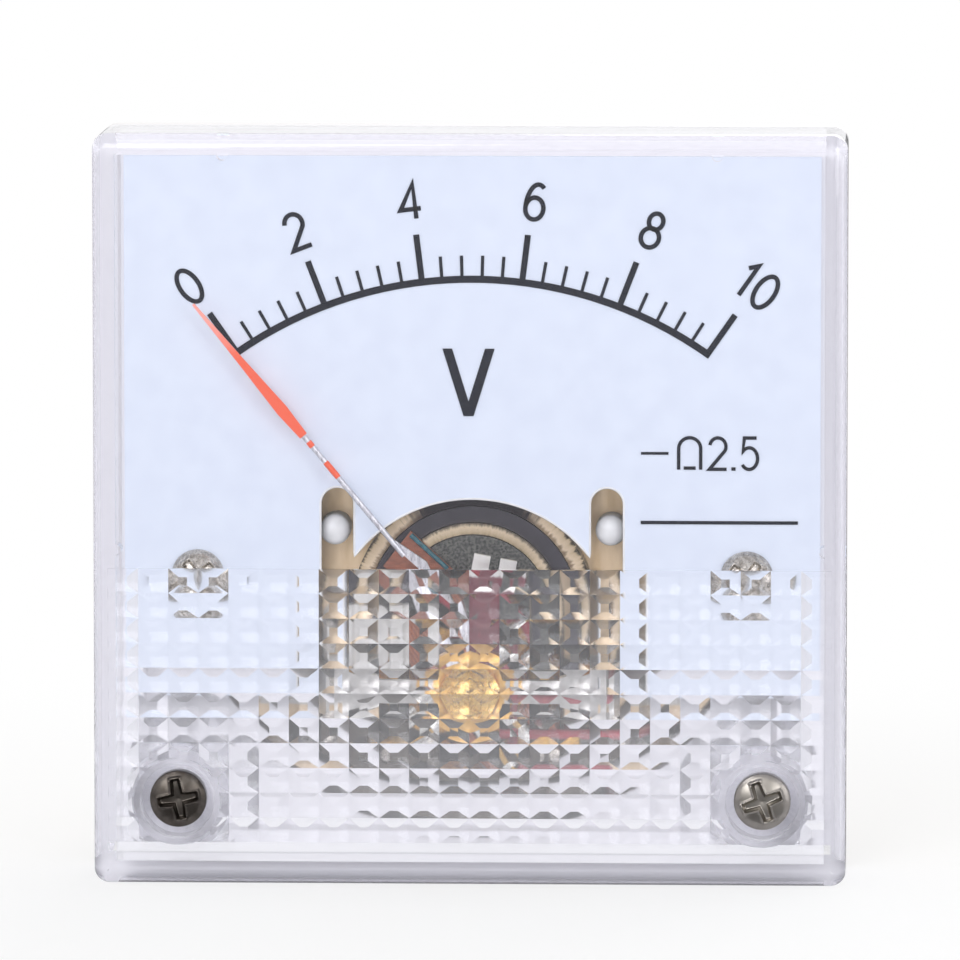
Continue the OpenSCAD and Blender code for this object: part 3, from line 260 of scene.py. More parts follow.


# Metal or ferrite painted as arcs round the arch's centre: tone changes with the distance from that centre,
# painting the light and dark reflections of the rings, noise along the arc tears their edges, and a painted
# shade can darken the top of the arc. stops are (radius in mm, colour) pairs.
def archedPaintedReflections(name, stops, rough, metallic, tear=0.25, shade=None):
    material, tree = startMaterial(name)
    coords = addNode(tree, "ShaderNodeTexCoord")
    flat = addNode(tree, "ShaderNodeMapping", {"Vector": coords.outputs["Object"],
                                               "Location": (0, 0, -meter["archY"] * mm), "Scale": (1, 0, 1)})
    radius = addNode(tree, "ShaderNodeVectorMath", {0: flat.outputs[0]}, operation="LENGTH")
    unit = addNode(tree, "ShaderNodeVectorMath", {0: flat.outputs[0]}, operation="NORMALIZE")
    streaks = addNode(tree, "ShaderNodeTexNoise", {"Vector": unit.outputs[0], "Scale": 34.0, "Detail": 5.0,
                                                   "Roughness": 0.7})
    shift = addNode(tree, "ShaderNodeMapRange", {"Value": streaks.outputs[0], "From Min": 0.25,
                                                 "From Max": 0.75, "To Min": -tear, "To Max": tear})
    inMm = addNode(tree, "ShaderNodeMath", {0: radius.outputs["Value"], 1: 1000.0, 2: shift.outputs[0]},
                   operation="MULTIPLY_ADD")
    first, last = stops[0][0], stops[-1][0]
    share = addNode(tree, "ShaderNodeMapRange",
                    {"Value": inMm.outputs[0], "From Min": first, "From Max": last})
    ramp = addNode(tree, "ShaderNodeValToRGB", {0: share.outputs[0]})
    elements = ramp.color_ramp.elements
    for index, (at, colour) in enumerate(stops):
        element = elements[index] if index < 2 else elements.new(1.0)
        element.position = (at - first) / (last - first)
        element.color = linear(colour)
    colour = ramp.outputs[0]
    # painted shade: the top of the arc is darkened towards the shade colour
    if shade:
        axes = addNode(tree, "ShaderNodeSeparateXYZ", {0: unit.outputs[0]})
        grown = addNode(tree, "ShaderNodeMath", {0: shift.outputs[0], 1: 0.3, 2: axes.outputs[2]},
                        operation="MULTIPLY_ADD")
        upper = addNode(tree, "ShaderNodeMapRange",
                        {"Value": grown.outputs[0], "From Min": 0.8, "From Max": 0.88})
        colour = addNode(tree, "ShaderNodeMix", {0: upper.outputs[0], 6: colour, 7: linear(shade)},
                         data_type="RGBA").outputs[2]
    grain = addNode(tree, "ShaderNodeTexNoise", {"Vector": coords.outputs["Object"], "Scale": 1 / (0.2 * mm)})
    gloss = addNode(tree, "ShaderNodeMapRange",
                    {"Value": grain.outputs[0], "To Min": rough[0], "To Max": rough[1]})
    shader = addNode(tree, "ShaderNodeBsdfPrincipled", {"Base Color": colour, "Roughness": gloss.outputs[0],
                                                        "Metallic": metallic})
    addNode(tree, "ShaderNodeOutputMaterial", {"Surface": shader.outputs[0]})
    return material


# Stamped brass bridge with a bare eye round the jewel screw; its arms are tinned, with a soft edge drawn by
# noise
def tinnedBrass():
    material, tree = startMaterial("brass, stamped, arms tinned")
    coords = addNode(tree, "ShaderNodeTexCoord")
    flat = addNode(tree, "ShaderNodeMapping", {"Vector": coords.outputs["Object"], "Scale": (1, 0, 1),
                                               "Location": (0, 0, -meter["pivotY"] * mm)})
    reach = addNode(tree, "ShaderNodeVectorMath", {0: flat.outputs[0]}, operation="LENGTH")
    cloud = addNode(tree, "ShaderNodeTexNoise",
                    {"Vector": coords.outputs["Object"], "Scale": 1 / (0.5 * mm), "Detail": 4.0})
    edge = addNode(tree, "ShaderNodeMath", {0: cloud.outputs[0], 1: 0.8 * mm, 2: reach.outputs["Value"]},
                   operation="MULTIPLY_ADD")
    tinned = addNode(tree, "ShaderNodeMapRange",
                     {"Value": edge.outputs[0], "From Min": 3.0 * mm, "From Max": 3.2 * mm})
    brass = addNode(tree, "ShaderNodeMix", {0: cloud.outputs[0], 6: linear("#C8913F"), 7: linear("#F0C672")},
                    data_type="RGBA")
    tin = addNode(tree, "ShaderNodeMix", {0: cloud.outputs[0], 6: linear("#A29F9A"), 7: linear("#D9D7D2")},
                  data_type="RGBA")
    colour = addNode(tree, "ShaderNodeMix", {0: tinned.outputs[0], 6: brass.outputs[2], 7: tin.outputs[2]},
                     data_type="RGBA")
    bump = addNode(tree, "ShaderNodeBump", {"Height": cloud.outputs[0], "Distance": 0.006 * mm})
    shader = addNode(tree, "ShaderNodeBsdfPrincipled", {"Base Color": colour.outputs[2], "Metallic": 1.0,
                                                        "Roughness": 0.3, "Normal": bump.outputs[0]})
    addNode(tree, "ShaderNodeOutputMaterial", {"Surface": shader.outputs[0]})
    return material


# Enamelled copper wire, wound: fine parallel turns across the coil's sides, with a lacquer coat
def woundCopper():
    material, tree = startMaterial("enamelled copper wire, wound")
    coords = addNode(tree, "ShaderNodeTexCoord")
    lean = math.radians(meter["restAngle"])
    turned = addNode(tree, "ShaderNodeMapping",
                     {"Vector": coords.outputs["Object"], "Rotation": (0, lean, 0)})
    turns = addNode(tree, "ShaderNodeTexWave",
                    {"Vector": turned.outputs[0], "Scale": 0.314 / (0.12 * mm) / 2, "Distortion": 0.6,
                     "Detail": 1.0, "Detail Scale": 2.0}, bands_direction="X")
    colour = addNode(tree, "ShaderNodeMix",
                     {0: turns.outputs["Fac"], 6: linear("#8A3E20"), 7: linear("#D9814E")}, data_type="RGBA")
    bump = addNode(tree, "ShaderNodeBump", {"Height": turns.outputs["Fac"], "Distance": 0.03 * mm})
    shader = addNode(tree, "ShaderNodeBsdfPrincipled",
                     {"Base Color": colour.outputs[2], "Roughness": 0.35, "Metallic": 0.5,
                      "Coat Weight": 0.4, "Normal": bump.outputs[0]})
    addNode(tree, "ShaderNodeOutputMaterial", {"Surface": shader.outputs[0]})
    return material


# Red enamel brushed on the pointer: full colour along the blade, thin and pale towards the tip
def pointerEnamel():
    material, tree = startMaterial("enamel, brushed on")
    coords = addNode(tree, "ShaderNodeTexCoord")
    fromPivot = addNode(tree, "ShaderNodeMapping",
                        {"Vector": coords.outputs["Object"], "Location": (0, 0, -meter["pivotY"] * mm),
                         "Scale": (1, 0, 1)})
    reach = addNode(tree, "ShaderNodeVectorMath", {0: fromPivot.outputs[0]}, operation="LENGTH")
    drag = addNode(tree, "ShaderNodeTexNoise",
                   {"Vector": coords.outputs["Object"], "Scale": 1 / (1.1 * mm), "Detail": 3.0})
    blurred = addNode(tree, "ShaderNodeMath", {0: drag.outputs[0], 1: 3 * mm, 2: reach.outputs["Value"]},
                      operation="MULTIPLY_ADD")
    share = addNode(tree, "ShaderNodeMapRange",
                    {"Value": blurred.outputs[0], "From Min": 25.6 * mm, "From Max": 28.6 * mm})
    colour = addNode(tree, "ShaderNodeMix", {0: share.outputs[0], 6: linear("#F8603A"), 7: linear("#FFA394")},
                     data_type="RGBA")
    shader = addNode(tree, "ShaderNodeBsdfPrincipled", {"Base Color": colour.outputs[2], "Roughness": 0.4,
                                                        "Coat Weight": 0.2})
    addNode(tree, "ShaderNodeOutputMaterial", {"Surface": shader.outputs[0]})
    return material


# Tinned lever whose stem is dipped in crimson lacquer: bright fork above, with a soft edge drawn by noise
def dippedTin():
    material, tree = startMaterial("tin, dipped in crimson lacquer")
    coords = addNode(tree, "ShaderNodeTexCoord")
    axes = addNode(tree, "ShaderNodeSeparateXYZ", {0: coords.outputs["Object"]})
    run = addNode(tree, "ShaderNodeTexNoise",
                  {"Vector": coords.outputs["Object"], "Scale": 1 / (0.6 * mm), "Detail": 4.0})
    edge = addNode(tree, "ShaderNodeMath", {0: run.outputs[0], 1: 0.7 * mm, 2: axes.outputs[2]},
                   operation="MULTIPLY_ADD")
    bare = addNode(tree, "ShaderNodeMapRange",
                   {"Value": edge.outputs[0], "From Min": -3.9 * mm, "From Max": -3.7 * mm})
    tin = addNode(tree, "ShaderNodeMix", {0: run.outputs[0], 6: linear("#D2CEC6"), 7: linear("#F4F2EE")},
                  data_type="RGBA")
    lacquer = addNode(tree, "ShaderNodeMix", {0: run.outputs[0], 6: linear("#4C0F1C"), 7: linear("#7C2136")},
                      data_type="RGBA")
    colour = addNode(tree, "ShaderNodeMix", {0: bare.outputs[0], 6: lacquer.outputs[2], 7: tin.outputs[2]},
                     data_type="RGBA")
    shader = addNode(tree, "ShaderNodeBsdfPrincipled",
                     {"Base Color": colour.outputs[2], "Metallic": bare.outputs[0], "Roughness": 0.28})
    addNode(tree, "ShaderNodeOutputMaterial", {"Surface": shader.outputs[0]})
    return material


# Lacquered resistor: pale blue body with four painted colour bands round it, in mm along x
def bandedLacquer():
    material, tree = startMaterial("lacquer, dipped, with painted bands")
    bands = [(-2.35, "#7A3E1E"), (-1.2, "#1B1B1D"), (-0.2, "#D9802A"), (2.2, "#B98A2E")]
    halfWidth = 0.26
    coords = addNode(tree, "ShaderNodeTexCoord")
    axes = addNode(tree, "ShaderNodeSeparateXYZ", {0: coords.outputs["Object"]})
    cloud = addNode(tree, "ShaderNodeTexNoise", {"Vector": coords.outputs["Object"], "Scale": 1 / (0.8 * mm)})
    body = addNode(tree, "ShaderNodeMix", {0: cloud.outputs[0], 6: linear("#7FAFC6"), 7: linear("#98C2D4")},
                   data_type="RGBA").outputs[2]
    for at, colour in bands:
        away = addNode(tree, "ShaderNodeMath", {0: axes.outputs[0], 1: at * mm}, operation="SUBTRACT")
        near = addNode(tree, "ShaderNodeMath", {0: away.outputs[0], 1: 0.0, 2: halfWidth * mm},
                       operation="COMPARE")
        body = addNode(tree, "ShaderNodeMix", {0: near.outputs[0], 6: body, 7: linear(colour)},
                       data_type="RGBA").outputs[2]
    shader = addNode(tree, "ShaderNodeBsdfPrincipled",
                     {"Base Color": body, "Roughness": 0.25, "Coat Weight": 0.5})
    addNode(tree, "ShaderNodeOutputMaterial", {"Surface": shader.outputs[0]})
    return material


materials["plastic"] = mouldedPlastic()
materials["acrylic"] = clearAcrylic()
# The yoke's tones are painted light: painted shade at both edges of the ring, a painted highlight near 6.7
# mm, and painted shade over the top of the arch
materials["yoke"] = archedPaintedReflections("zinc-plated iron, bright, painted reflections",
                                 [(5.9, "#4A3D33"), (6.5, "#8C7862"), (6.7, "#DCC8AC"), (7.15, "#C9B494"),
                                  (7.3, "#4A4238")], (0.24, 0.38), 0.9, shade="#2A252B")
# Near-black ferrite, its own colour; its slight changes of tone with radius, lighter at the inner edge, are
# painted as on the yoke
materials["magnet"] = archedPaintedReflections("ferrite, sintered and ground",
                                   [(5.3, "#3C3638"), (5.6, "#241F2A"), (6.2, "#2E2934"), (6.6, "#221E28")],
                                   (0.35, 0.5), 0.0, 0.1)
# The strap's tones are painted light too: a painted highlight across its middle and painted shade at both
# edges
materials["strap"] = archedPaintedReflections("zinc-plated strip, bright, painted reflections",
                                  [(4.5, "#4C463E"), (4.75, "#B9A688"), (5.1, "#D6C4A8"), (5.3, "#5B5248")],
                                  (0.24, 0.38), 0.9, 0.16)
materials["bridge"] = tinnedBrass()
materials["winding"] = woundCopper()
materials["pointerRed"] = pointerEnamel()
materials["resistor"] = bandedLacquer()
materials["lever"] = dippedTin()
print("materials made,", len(materials))


# Dresses the part's own nodes
def dress(node, material):
    mesh = node.data
    mesh.materials.clear()
    mesh.materials.append(material)


# Nodes with a finish of their own; the fasteners that neither table names are nickel-plated
special = {"base": "plastic", "front_cover": "acrylic", "yoke": "yoke", "arc_magnet": "magnet",
           "pole_strap": "strap", "coil_winding": "winding", "pointer_blade": "pointerRed",
           "resistor": "resistor", "zero_lever": "lever", "front_bridge": "bridge", "rear_bridge": "bridge"}
for name, node in nodes.items():
    key = special.get(name) or nodeFinishes.get(name) or "nickel, plated and turned"
    dress(node, materials[key])
print("nodes dressed")


# Quads between neighbouring rows and columns of a grid of points; a closed way joins its end to its start
def gridFaces(rows, columns, closeRows=False, closeColumns=False):
    index = np.arange(rows * columns).reshape(rows, columns)
    if closeRows:
        index = np.vstack([index, index[:1]])
    if closeColumns:
        index = np.hstack([index, index[:, :1]])
    corners = [index[:-1, :-1], index[:-1, 1:], index[1:, 1:], index[1:, :-1]]
    return np.stack(corners, -1).reshape(-1, 4).tolist()


# Makes a piece from points in drawing axes (x right, y up, z out of the panel, mm) and puts it on a body
def addPiece(name, points, faces, material, slot, body="case", replaced=(), sharp=40.0):
    x, y, z = np.asarray(points, float).reshape(-1, 3).T
    mesh = bpy.data.meshes.new(name)
    mesh.from_pydata((np.stack([x, -z, y], 1) * mm).tolist(), [], faces)
    mesh.polygons.foreach_set("use_smooth", np.ones(len(mesh.polygons), bool))
    mesh.set_sharp_from_angle(angle=math.radians(sharp))
    mesh.materials.append(material)
    mesh.update()
    piece = bpy.data.objects.new(name, mesh)
    bpy.context.scene.collection.objects.link(piece)
    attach(piece, body)
    if replaced:
        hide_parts(*replaced)
    return piece


# Several meshes as one: their points end to end, with the faces' numbers moved on
def joined(meshes):
    points, faces, count = [], [], 0
    for part, partFaces in meshes:
        part = np.asarray(part, float).reshape(-1, 3)
        points.append(part)
        faces += [[index + count for index in face] for face in partFaces]
        count += len(part)
    return np.vstack(points), faces


def unitRows(vectors):
    return vectors / np.linalg.norm(vectors, axis=-1, keepdims=True)


# A printed stroke: a line of points widened to both sides with mitred corners, as a strip with square edges
def stroke(line, width, low, high, closed=False):
    line = np.asarray(line, float)
    into = unitRows(line - np.roll(line, 1, 0))
    out = unitRows(np.roll(line, -1, 0) - line)
    if not closed:
        into[0], out[-1] = out[0], into[-1]
    normalIn = np.stack([-into[:, 1], into[:, 0]], 1)
    mitre = unitRows(normalIn + np.stack([-out[:, 1], out[:, 0]], 1))
    reach = np.clip(1 / np.sum(mitre * normalIn, 1), 1, 2.5)[:, None] * width / 2
    left, right = line + mitre * reach, line - mitre * reach
    ring = np.stack([np.c_[left, np.full(len(line), low)], np.c_[right, np.full(len(line), low)],
                     np.c_[right, np.full(len(line), high)], np.c_[left, np.full(len(line), high)]], 1)
    faces = gridFaces(len(line), 4, closed, True)
    if not closed:
        last = 4 * (len(line) - 1)
        faces += [[3, 2, 1, 0], [last, last + 1, last + 2, last + 3]]
    return ring, faces


# Points along part of an ellipse, from one angle to another in degrees
def arc(centre, radii, start, end, steps=24):
    angle = np.radians(np.linspace(start, end, steps))
    return np.stack([centre[0] + radii[0] * np.cos(angle), centre[1] + radii[1] * np.sin(angle)], 1)


# Strokes of each printed character, in a box one unit high, centred, as (line, closed)
characters = {
    "0": [(arc((0, 0), (0.24, 0.45), 0, 360, 41)[:-1], True)],
    "1": [([(-0.13, 0.26), (0.05, 0.45), (0.05, -0.45)], False)],
    "2": [(np.vstack([arc((0, 0.2), (0.23, 0.25), 170, -30), [(-0.24, -0.45), (0.25, -0.45)]]), False)],
    "4": [([(0.26, -0.2), (-0.26, -0.2), (0.12, 0.45), (0.12, -0.45)], False)],
    "5": [(np.vstack([[(0.2, 0.45), (-0.15, 0.45), (-0.19, 0.06)],
                      arc((-0.01, -0.14), (0.24, 0.31), 128, -145)]), False)],
    "6": [(arc((0, -0.17), (0.23, 0.28), 0, 360, 33)[:-1], True),
          (arc((0.05, -0.15), (0.28, 0.6), 60, 178), False)],
    "8": [(arc((0, 0.24), (0.18, 0.21), 0, 360, 29)[:-1], True),
          (arc((0, -0.2), (0.23, 0.25), 0, 360, 33)[:-1], True)],
    ".": [([(-0.06, -0.44), (0.06, -0.44)], False)],
}


# A character's strokes at a place on the dial, turned about it, as meshes
def printed(character, centre, height, width, turn=0.0):
    low = meter["dialZ"] - 0.01
    high = meter["dialZ"] + meter["inkHeight"]
    cos, sin = math.cos(math.radians(turn)), math.sin(math.radians(turn))
    meshes = []
    for line, closed in characters[character]:
        scaled = np.asarray(line, float) * height
        placed = scaled @ np.array([[cos, sin], [-sin, cos]]) + centre
        meshes.append(stroke(placed, width, low, high, closed))
    return meshes


# A printed shape with a straight-edged outline, given counter-clockwise
def printedShape(outline, low, high):
    count = len(outline)
    flat = np.asarray(outline, float)
    points = np.vstack([np.c_[flat, np.full(count, low)], np.c_[flat, np.full(count, high)]])
    faces = gridFaces(2, count, False, True)
    return points, faces + [list(range(count))[::-1], list(range(count, 2 * count))]


dialPrint = {
    "numbers": [("0", -16.97, 13.06), ("2", -10.54, 16.37), ("4", -3.74, 18.18), ("6", 3.78, 18.18),
                ("8", 10.82, 16.49), ("10", 17.02, 13.19)],
    "height": 2.35,
    "line": 0.27,
    "spacing": 0.56,        # between the two figures of 10, in heights
    "unitCentre": (-0.21, 7.32),
    "unitOutline": [(-1.565, 2.03), (-0.3, -2.03), (0.3, -2.03), (1.565, 2.03), (0.99, 2.03), (0, -1.15),
                    (-0.99, 2.03)],
    "classLine": 0.2,
    "classY": 3.09,
    "classHeight": 2.1,
    "classFigures": [("2", 14.75), (".", 15.69), ("5", 16.65)],
    "dashFrom": 10.14,
    "dashTo": 11.79,
    "dashLine": 0.16,
    "magnetX": 13.06,       # the horseshoe of a moving-coil movement
    "magnetR": 0.66,
    "magnetFoot": 2.12,
    "ruleFrom": 10.13,
    "ruleTo": 19.56,
    "ruleY": -1.08,
}


def printDial():
    low, high = meter["dialZ"] - 0.01, meter["dialZ"] + meter["inkHeight"]
    ink = materials["ink, screen-printed"]
    numbers = []
    count = len(dialPrint["numbers"]) - 1
    for index, (value, x, y) in enumerate(dialPrint["numbers"]):
        turn = meter["sweep"] * (0.5 - index / count)
        lean = math.radians(turn)
        for place, figure in enumerate(value):
            aside = (place - (len(value) - 1) / 2) * dialPrint["spacing"] * dialPrint["height"]
            centre = (x + aside * math.cos(lean), y + aside * math.sin(lean))
            numbers += printed(figure, centre, dialPrint["height"], dialPrint["line"], turn)
    addPiece("dial_numbers", *joined(numbers), ink, "scale_marks")
    unit = np.array(dialPrint["unitOutline"]) + dialPrint["unitCentre"]
    addPiece("unit_letter", *printedShape(unit, low, high), ink, "scale_marks")
    line = dialPrint["classLine"]
    middle, x, r, foot = (dialPrint[key] for key in ("classY", "magnetX", "magnetR", "magnetFoot"))
    horseshoe = np.vstack([[(x - r, foot)], arc((x, middle + 0.29), (r, r), 180, 0), [(x + r, foot)]])
    signs = [stroke([(dialPrint["dashFrom"], middle), (dialPrint["dashTo"], middle)], dialPrint["dashLine"],
                    low, high), stroke(horseshoe, line, low, high),
                    stroke([(x - 0.36, foot + 0.09), (x + 0.36, foot + 0.09)], line, low, high)]
    for figure, across in dialPrint["classFigures"]:
        signs += printed(figure, (across, middle), dialPrint["classHeight"], line)
    signs.append(stroke([(dialPrint["ruleFrom"], dialPrint["ruleY"]),
                         (dialPrint["ruleTo"], dialPrint["ruleY"])], line, low, high))
    addPiece("class_signs", *joined(signs), ink, "scale_marks")


printDial()
print("dial printed")


# A round bead along a line that lies in one plane: a circle carried along the path, square to it
def bead(line, level, radius, closed=False, sides=10):
    line = np.asarray(line, float)
    along = unitRows(np.roll(line, -1, 0) - np.roll(line, 1, 0)) if closed else unitRows(np.gradient(line,
                                                                                                     axis=0))
    aside = np.stack([-along[:, 1], along[:, 0]], 1)
    angle = np.linspace(0, 2 * np.pi, sides, endpoint=False)
    flat = line[:, None, :] + radius * np.cos(angle)[None, :, None] * aside[:, None, :]
    depth = np.broadcast_to(level + radius * np.sin(angle), (len(line), sides))
    faces = gridFaces(len(line), sides, closed, True)
    if not closed:
        last = sides * (len(line) - 1)
        faces += [list(range(sides))[::-1], list(range(last, last + sides))]
    return np.concatenate([flat, depth[:, :, None]], 2), faces


# A rounded bead round the dial's cut-out, in white nylon whiter than the dial as a painted highlight on the
# plate's
# lit edge: up a slot, round its end, over the arch and down the other slot
def dialEdge():
    archY, archR, slotX, slotR, slotTop, foot = -8.6, 8.9, 8.1, 1.02, 1.0, -11.65
    inner = slotX - slotR
    meet = math.degrees(math.acos(inner / archR))
    right = np.vstack([arc((0, archY), (archR, archR), 90, meet, 30),
                       [(inner, archY + archR * math.sin(math.radians(meet)) + 0.25),
                        (inner, slotTop - slotR)], arc((slotX, slotTop - slotR), (slotR, slotR), 180, 0,
                                                       20)[1:], [(slotX + slotR, -5), (slotX + slotR, foot)]])
    line = np.vstack([right[::-1] * (-1, 1), right[1:]])
    addPiece("dial_edge", *bead(line, meter["dialZ"] - 0.04, 0.07), materials["nylon, moulded"], "dial_plate")


dialEdge()


postCap = {"x": 8.3, "y": -1.7, "radius": 0.92, "foot": 1.75, "shoulder": 3.75, "rise": 0.6}


# Bright push-on caps over the two posts in the slots: a straight wall and a dome as a quarter circle, carried
# round each post's axis
def postCaps():
    sides = 32
    bend = np.linspace(0, np.pi / 2, 9)[:-1]
    across = postCap["radius"] * np.concatenate([[1.0], np.cos(bend)])[:, None]
    level = np.concatenate([[postCap["foot"]], postCap["shoulder"] + postCap["rise"] * np.sin(bend)])[:, None]
    angle = np.linspace(0, 2 * np.pi, sides, endpoint=False)
    meshes = []
    last = (len(level) - 1) * sides
    ends = [list(range(sides))[::-1], list(range(last, last + sides))]
    for side in (-1, 1):
        points = np.stack([side * postCap["x"] + across * np.cos(angle),
                           postCap["y"] + across * np.sin(angle), level + 0 * angle], 2)
        meshes.append((points, gridFaces(len(level), sides, False, True) + ends))
    addPiece("post_caps", *joined(meshes), materials["nylon, moulded"], "base")


postCaps()


# A profile turned round an axis along z: rows of radius and level, which may change with the angle
def turned(radius, level, centre, columns):
    angle = np.linspace(0, 2 * np.pi, columns, endpoint=False)
    radius = np.broadcast_to(radius, (len(radius), columns))
    level = np.broadcast_to(level, (len(level), columns))
    points = np.stack([centre[0] + radius * np.cos(angle), centre[1] + radius * np.sin(angle), level], 2)
    last = columns * (len(radius) - 1)
    faces = [face[::-1] for face in gridFaces(len(radius), columns, False, True)]
    return points, faces + [list(range(columns)), list(range(last, last + columns))[::-1]]


def smoothStep(value):
    value = np.clip(value, 0, 1)
    return value * value * (3 - 2 * value)


# How deep a cross recess is at a point of the head, from 0 to 1: two tapered arms with soft walls
def crossDepth(x, y, reach, width, soft):
    arms = [np.minimum(smoothStep((width / 2 * (1.15 - 0.3 * np.abs(u) / reach) - np.abs(v)) / soft),
                       smoothStep((reach - np.abs(u)) / soft)) for u, v in ((x, y), (y, x))]
    return np.maximum(*arms)


# A cross-head screw in one skin: domed head with its recess and a burr round it, the head's edge and
# underside, a plain shank, then a thread whose radius falls and rises once a turn, and a chamfered end
def screw(centre, top, head, dome, headHeight, shank, shankEnd, thread, pitch, end, turn, columns=96):
    angle = np.linspace(0, 2 * np.pi, columns, endpoint=False)[None, :]
    radius = np.concatenate([np.linspace(0.01, 0.88, 48), np.linspace(0.91, 0.985, 4)])[:, None] * head
    ballR = (head ** 2 + dome ** 2) / (2 * dome)
    level = top - ballR + np.sqrt(ballR ** 2 - radius ** 2)
    lean = math.radians(turn)
    x, y = radius * np.cos(angle - lean), radius * np.sin(angle - lean)
    depth = crossDepth(x, y, 0.74 * head, 0.42 * head, 0.12 * head)
    burr = crossDepth(x, y, 0.82 * head, 0.53 * head, 0.06 * head) * (1 - depth)
    level = level - 0.4 * headHeight * depth * (1 - 0.4 * radius / head) + 0.045 * headHeight * burr
    rows = [(radius + 0 * angle, level)]
    rim = top - dome
    under = top - headHeight

    def ring(r, z):
        rows.append((np.full((1, columns), r), np.full((1, columns), z)))

    ring(head, rim - 0.05)
    ring(head, under + 0.08)
    ring(head - 0.08, under)
    ring(shank, under)
    ring(shank, shankEnd)
    turns = np.arange(0, (shankEnd - end - 0.4) / pitch, 1 / 9)[:, None]
    threadLevel = shankEnd - turns * pitch
    ridge = np.abs(2 * ((turns + angle / (2 * np.pi)) % 1) - 1)
    cut = 0.55 * pitch * np.clip(1.35 * ridge - 0.2, 0, 1) * smoothStep(turns / 1.2)
    rows.append((thread - cut, threadLevel + 0 * angle))
    ring(thread - 0.35 * pitch, end + 0.3)
    ring(thread - 0.8 * pitch, end)
    radii, levels = (np.vstack(values) for values in zip(*rows))
    return turned(radii, levels, centre, columns)


# Mottled nickel plate; the left screw is painted darker than the right one, a painted dark reflection
def nickelLeftPaintedDark():
    material, tree = startMaterial("nickel plate, mottled, left painted dark")
    coords = addNode(tree, "ShaderNodeTexCoord")
    axes = addNode(tree, "ShaderNodeSeparateXYZ", {0: coords.outputs["Object"]})
    # painted reflection: darker towards negative x, so the left screw is painted dark
    side = addNode(tree, "ShaderNodeMapRange",
                   {"Value": axes.outputs[0], "From Min": -10 * mm, "From Max": 10 * mm})
    cloud = addNode(tree, "ShaderNodeTexNoise",
                    {"Vector": coords.outputs["Object"], "Scale": 1 / (0.45 * mm), "Detail": 5.0})
    tone = addNode(tree, "ShaderNodeMath", {0: cloud.outputs[0], 1: 0.5, 2: side.outputs[0]},
                   operation="MULTIPLY_ADD")
    share = addNode(tree, "ShaderNodeMapRange", {"Value": tone.outputs[0], "From Min": 0.1, "From Max": 1.3})
    colour = addNode(tree, "ShaderNodeMix", {0: share.outputs[0], 6: linear("#4A443F"), 7: linear("#9E9993")},
                     data_type="RGBA")
    shader = addNode(tree, "ShaderNodeBsdfPrincipled", {"Base Color": colour.outputs[2], "Metallic": 1.0,
                                                        "Roughness": 0.28})
    addNode(tree, "ShaderNodeOutputMaterial", {"Surface": shader.outputs[0]})
    return material


caseScrew = {"x": 17.5, "y": -17.5, "top": 9.2, "head": 1.7, "dome": 0.36, "headHeight": 1.4, "shank": 0.9,
             "shankEnd": 0.0, "thread": 1.25, "pitch": 0.45, "end": -10.0, "turns": (10, 20)}
dialScrew = {"x": 16.5, "y": -4.4, "top": 6.1, "head": 1.6, "dome": 0.95, "headHeight": 1.1, "shank": 0.74,
             "shankEnd": 4.3, "thread": 0.8, "pitch": 0.4, "end": 0.0, "turns": (38, 52)}


def screwPair(name, size, material, node):
    shape = {key: size[key] for key in ("top", "head", "dome", "headHeight", "shank", "shankEnd", "thread",
                                        "pitch", "end")}
    pair = [screw((side * size["x"], size["y"]), turn=turn, **shape) for side,
            turn in zip((-1, 1), size["turns"])]
    addPiece(name, *joined(pair), material, node, replaced=(node,), sharp=50)


screwPair("case_screw_pair", caseScrew, nickelLeftPaintedDark(), "case_screws")
screwPair("dial_screw_pair", dialScrew, materials["nickel, plated and turned"], "dial_screws")
print("screws made")

terminal = {"x": 7.5, "y": 5.0, "thread": 1.5, "pitch": 0.5, "from": -18.0, "end": -29.0, "headTop": -16.6,
            "flats": 5.5, "signY": -2.2, "signHalf": 1.1, "signWidth": 0.5}


# A threaded stud with a hexagonal head inside the barrel
def stud(centre):
    columns = 60
    angle = np.linspace(0, 2 * np.pi, columns, endpoint=False)[None, :]
    hexagon = terminal["flats"] / 2 / np.cos((angle + np.pi / 6) % (np.pi / 3) - np.pi / 6)
    rows = [(hexagon * 0.9, np.full((1, columns), terminal["headTop"])),
            (hexagon, np.full((1, columns), terminal["headTop"] - 0.2)),
            (hexagon, np.full((1, columns), terminal["from"])),
            (np.full((1, columns), terminal["thread"]), np.full((1, columns), terminal["from"]))]
    turns = np.arange(0, (terminal["from"] - terminal["end"] - 0.4) / terminal["pitch"], 1 / 9)[:, None]
    ridge = np.abs(2 * ((turns + angle / (2 * np.pi)) % 1) - 1)
    cut = 0.55 * terminal["pitch"] * np.clip(1.35 * ridge - 0.2, 0, 1)
    rows.append((terminal["thread"] - cut, terminal["from"] - turns * terminal["pitch"] + 0 * angle))
    for inset, up in ((0.15, 0.3), (0.4, 0.0)):
        rows.append((np.full((1, columns), terminal["thread"] - inset),
                     np.full((1, columns), terminal["end"] + up)))
    radii, levels = (np.vstack(values) for values in zip(*rows))
    return turned(radii, levels, centre, columns)


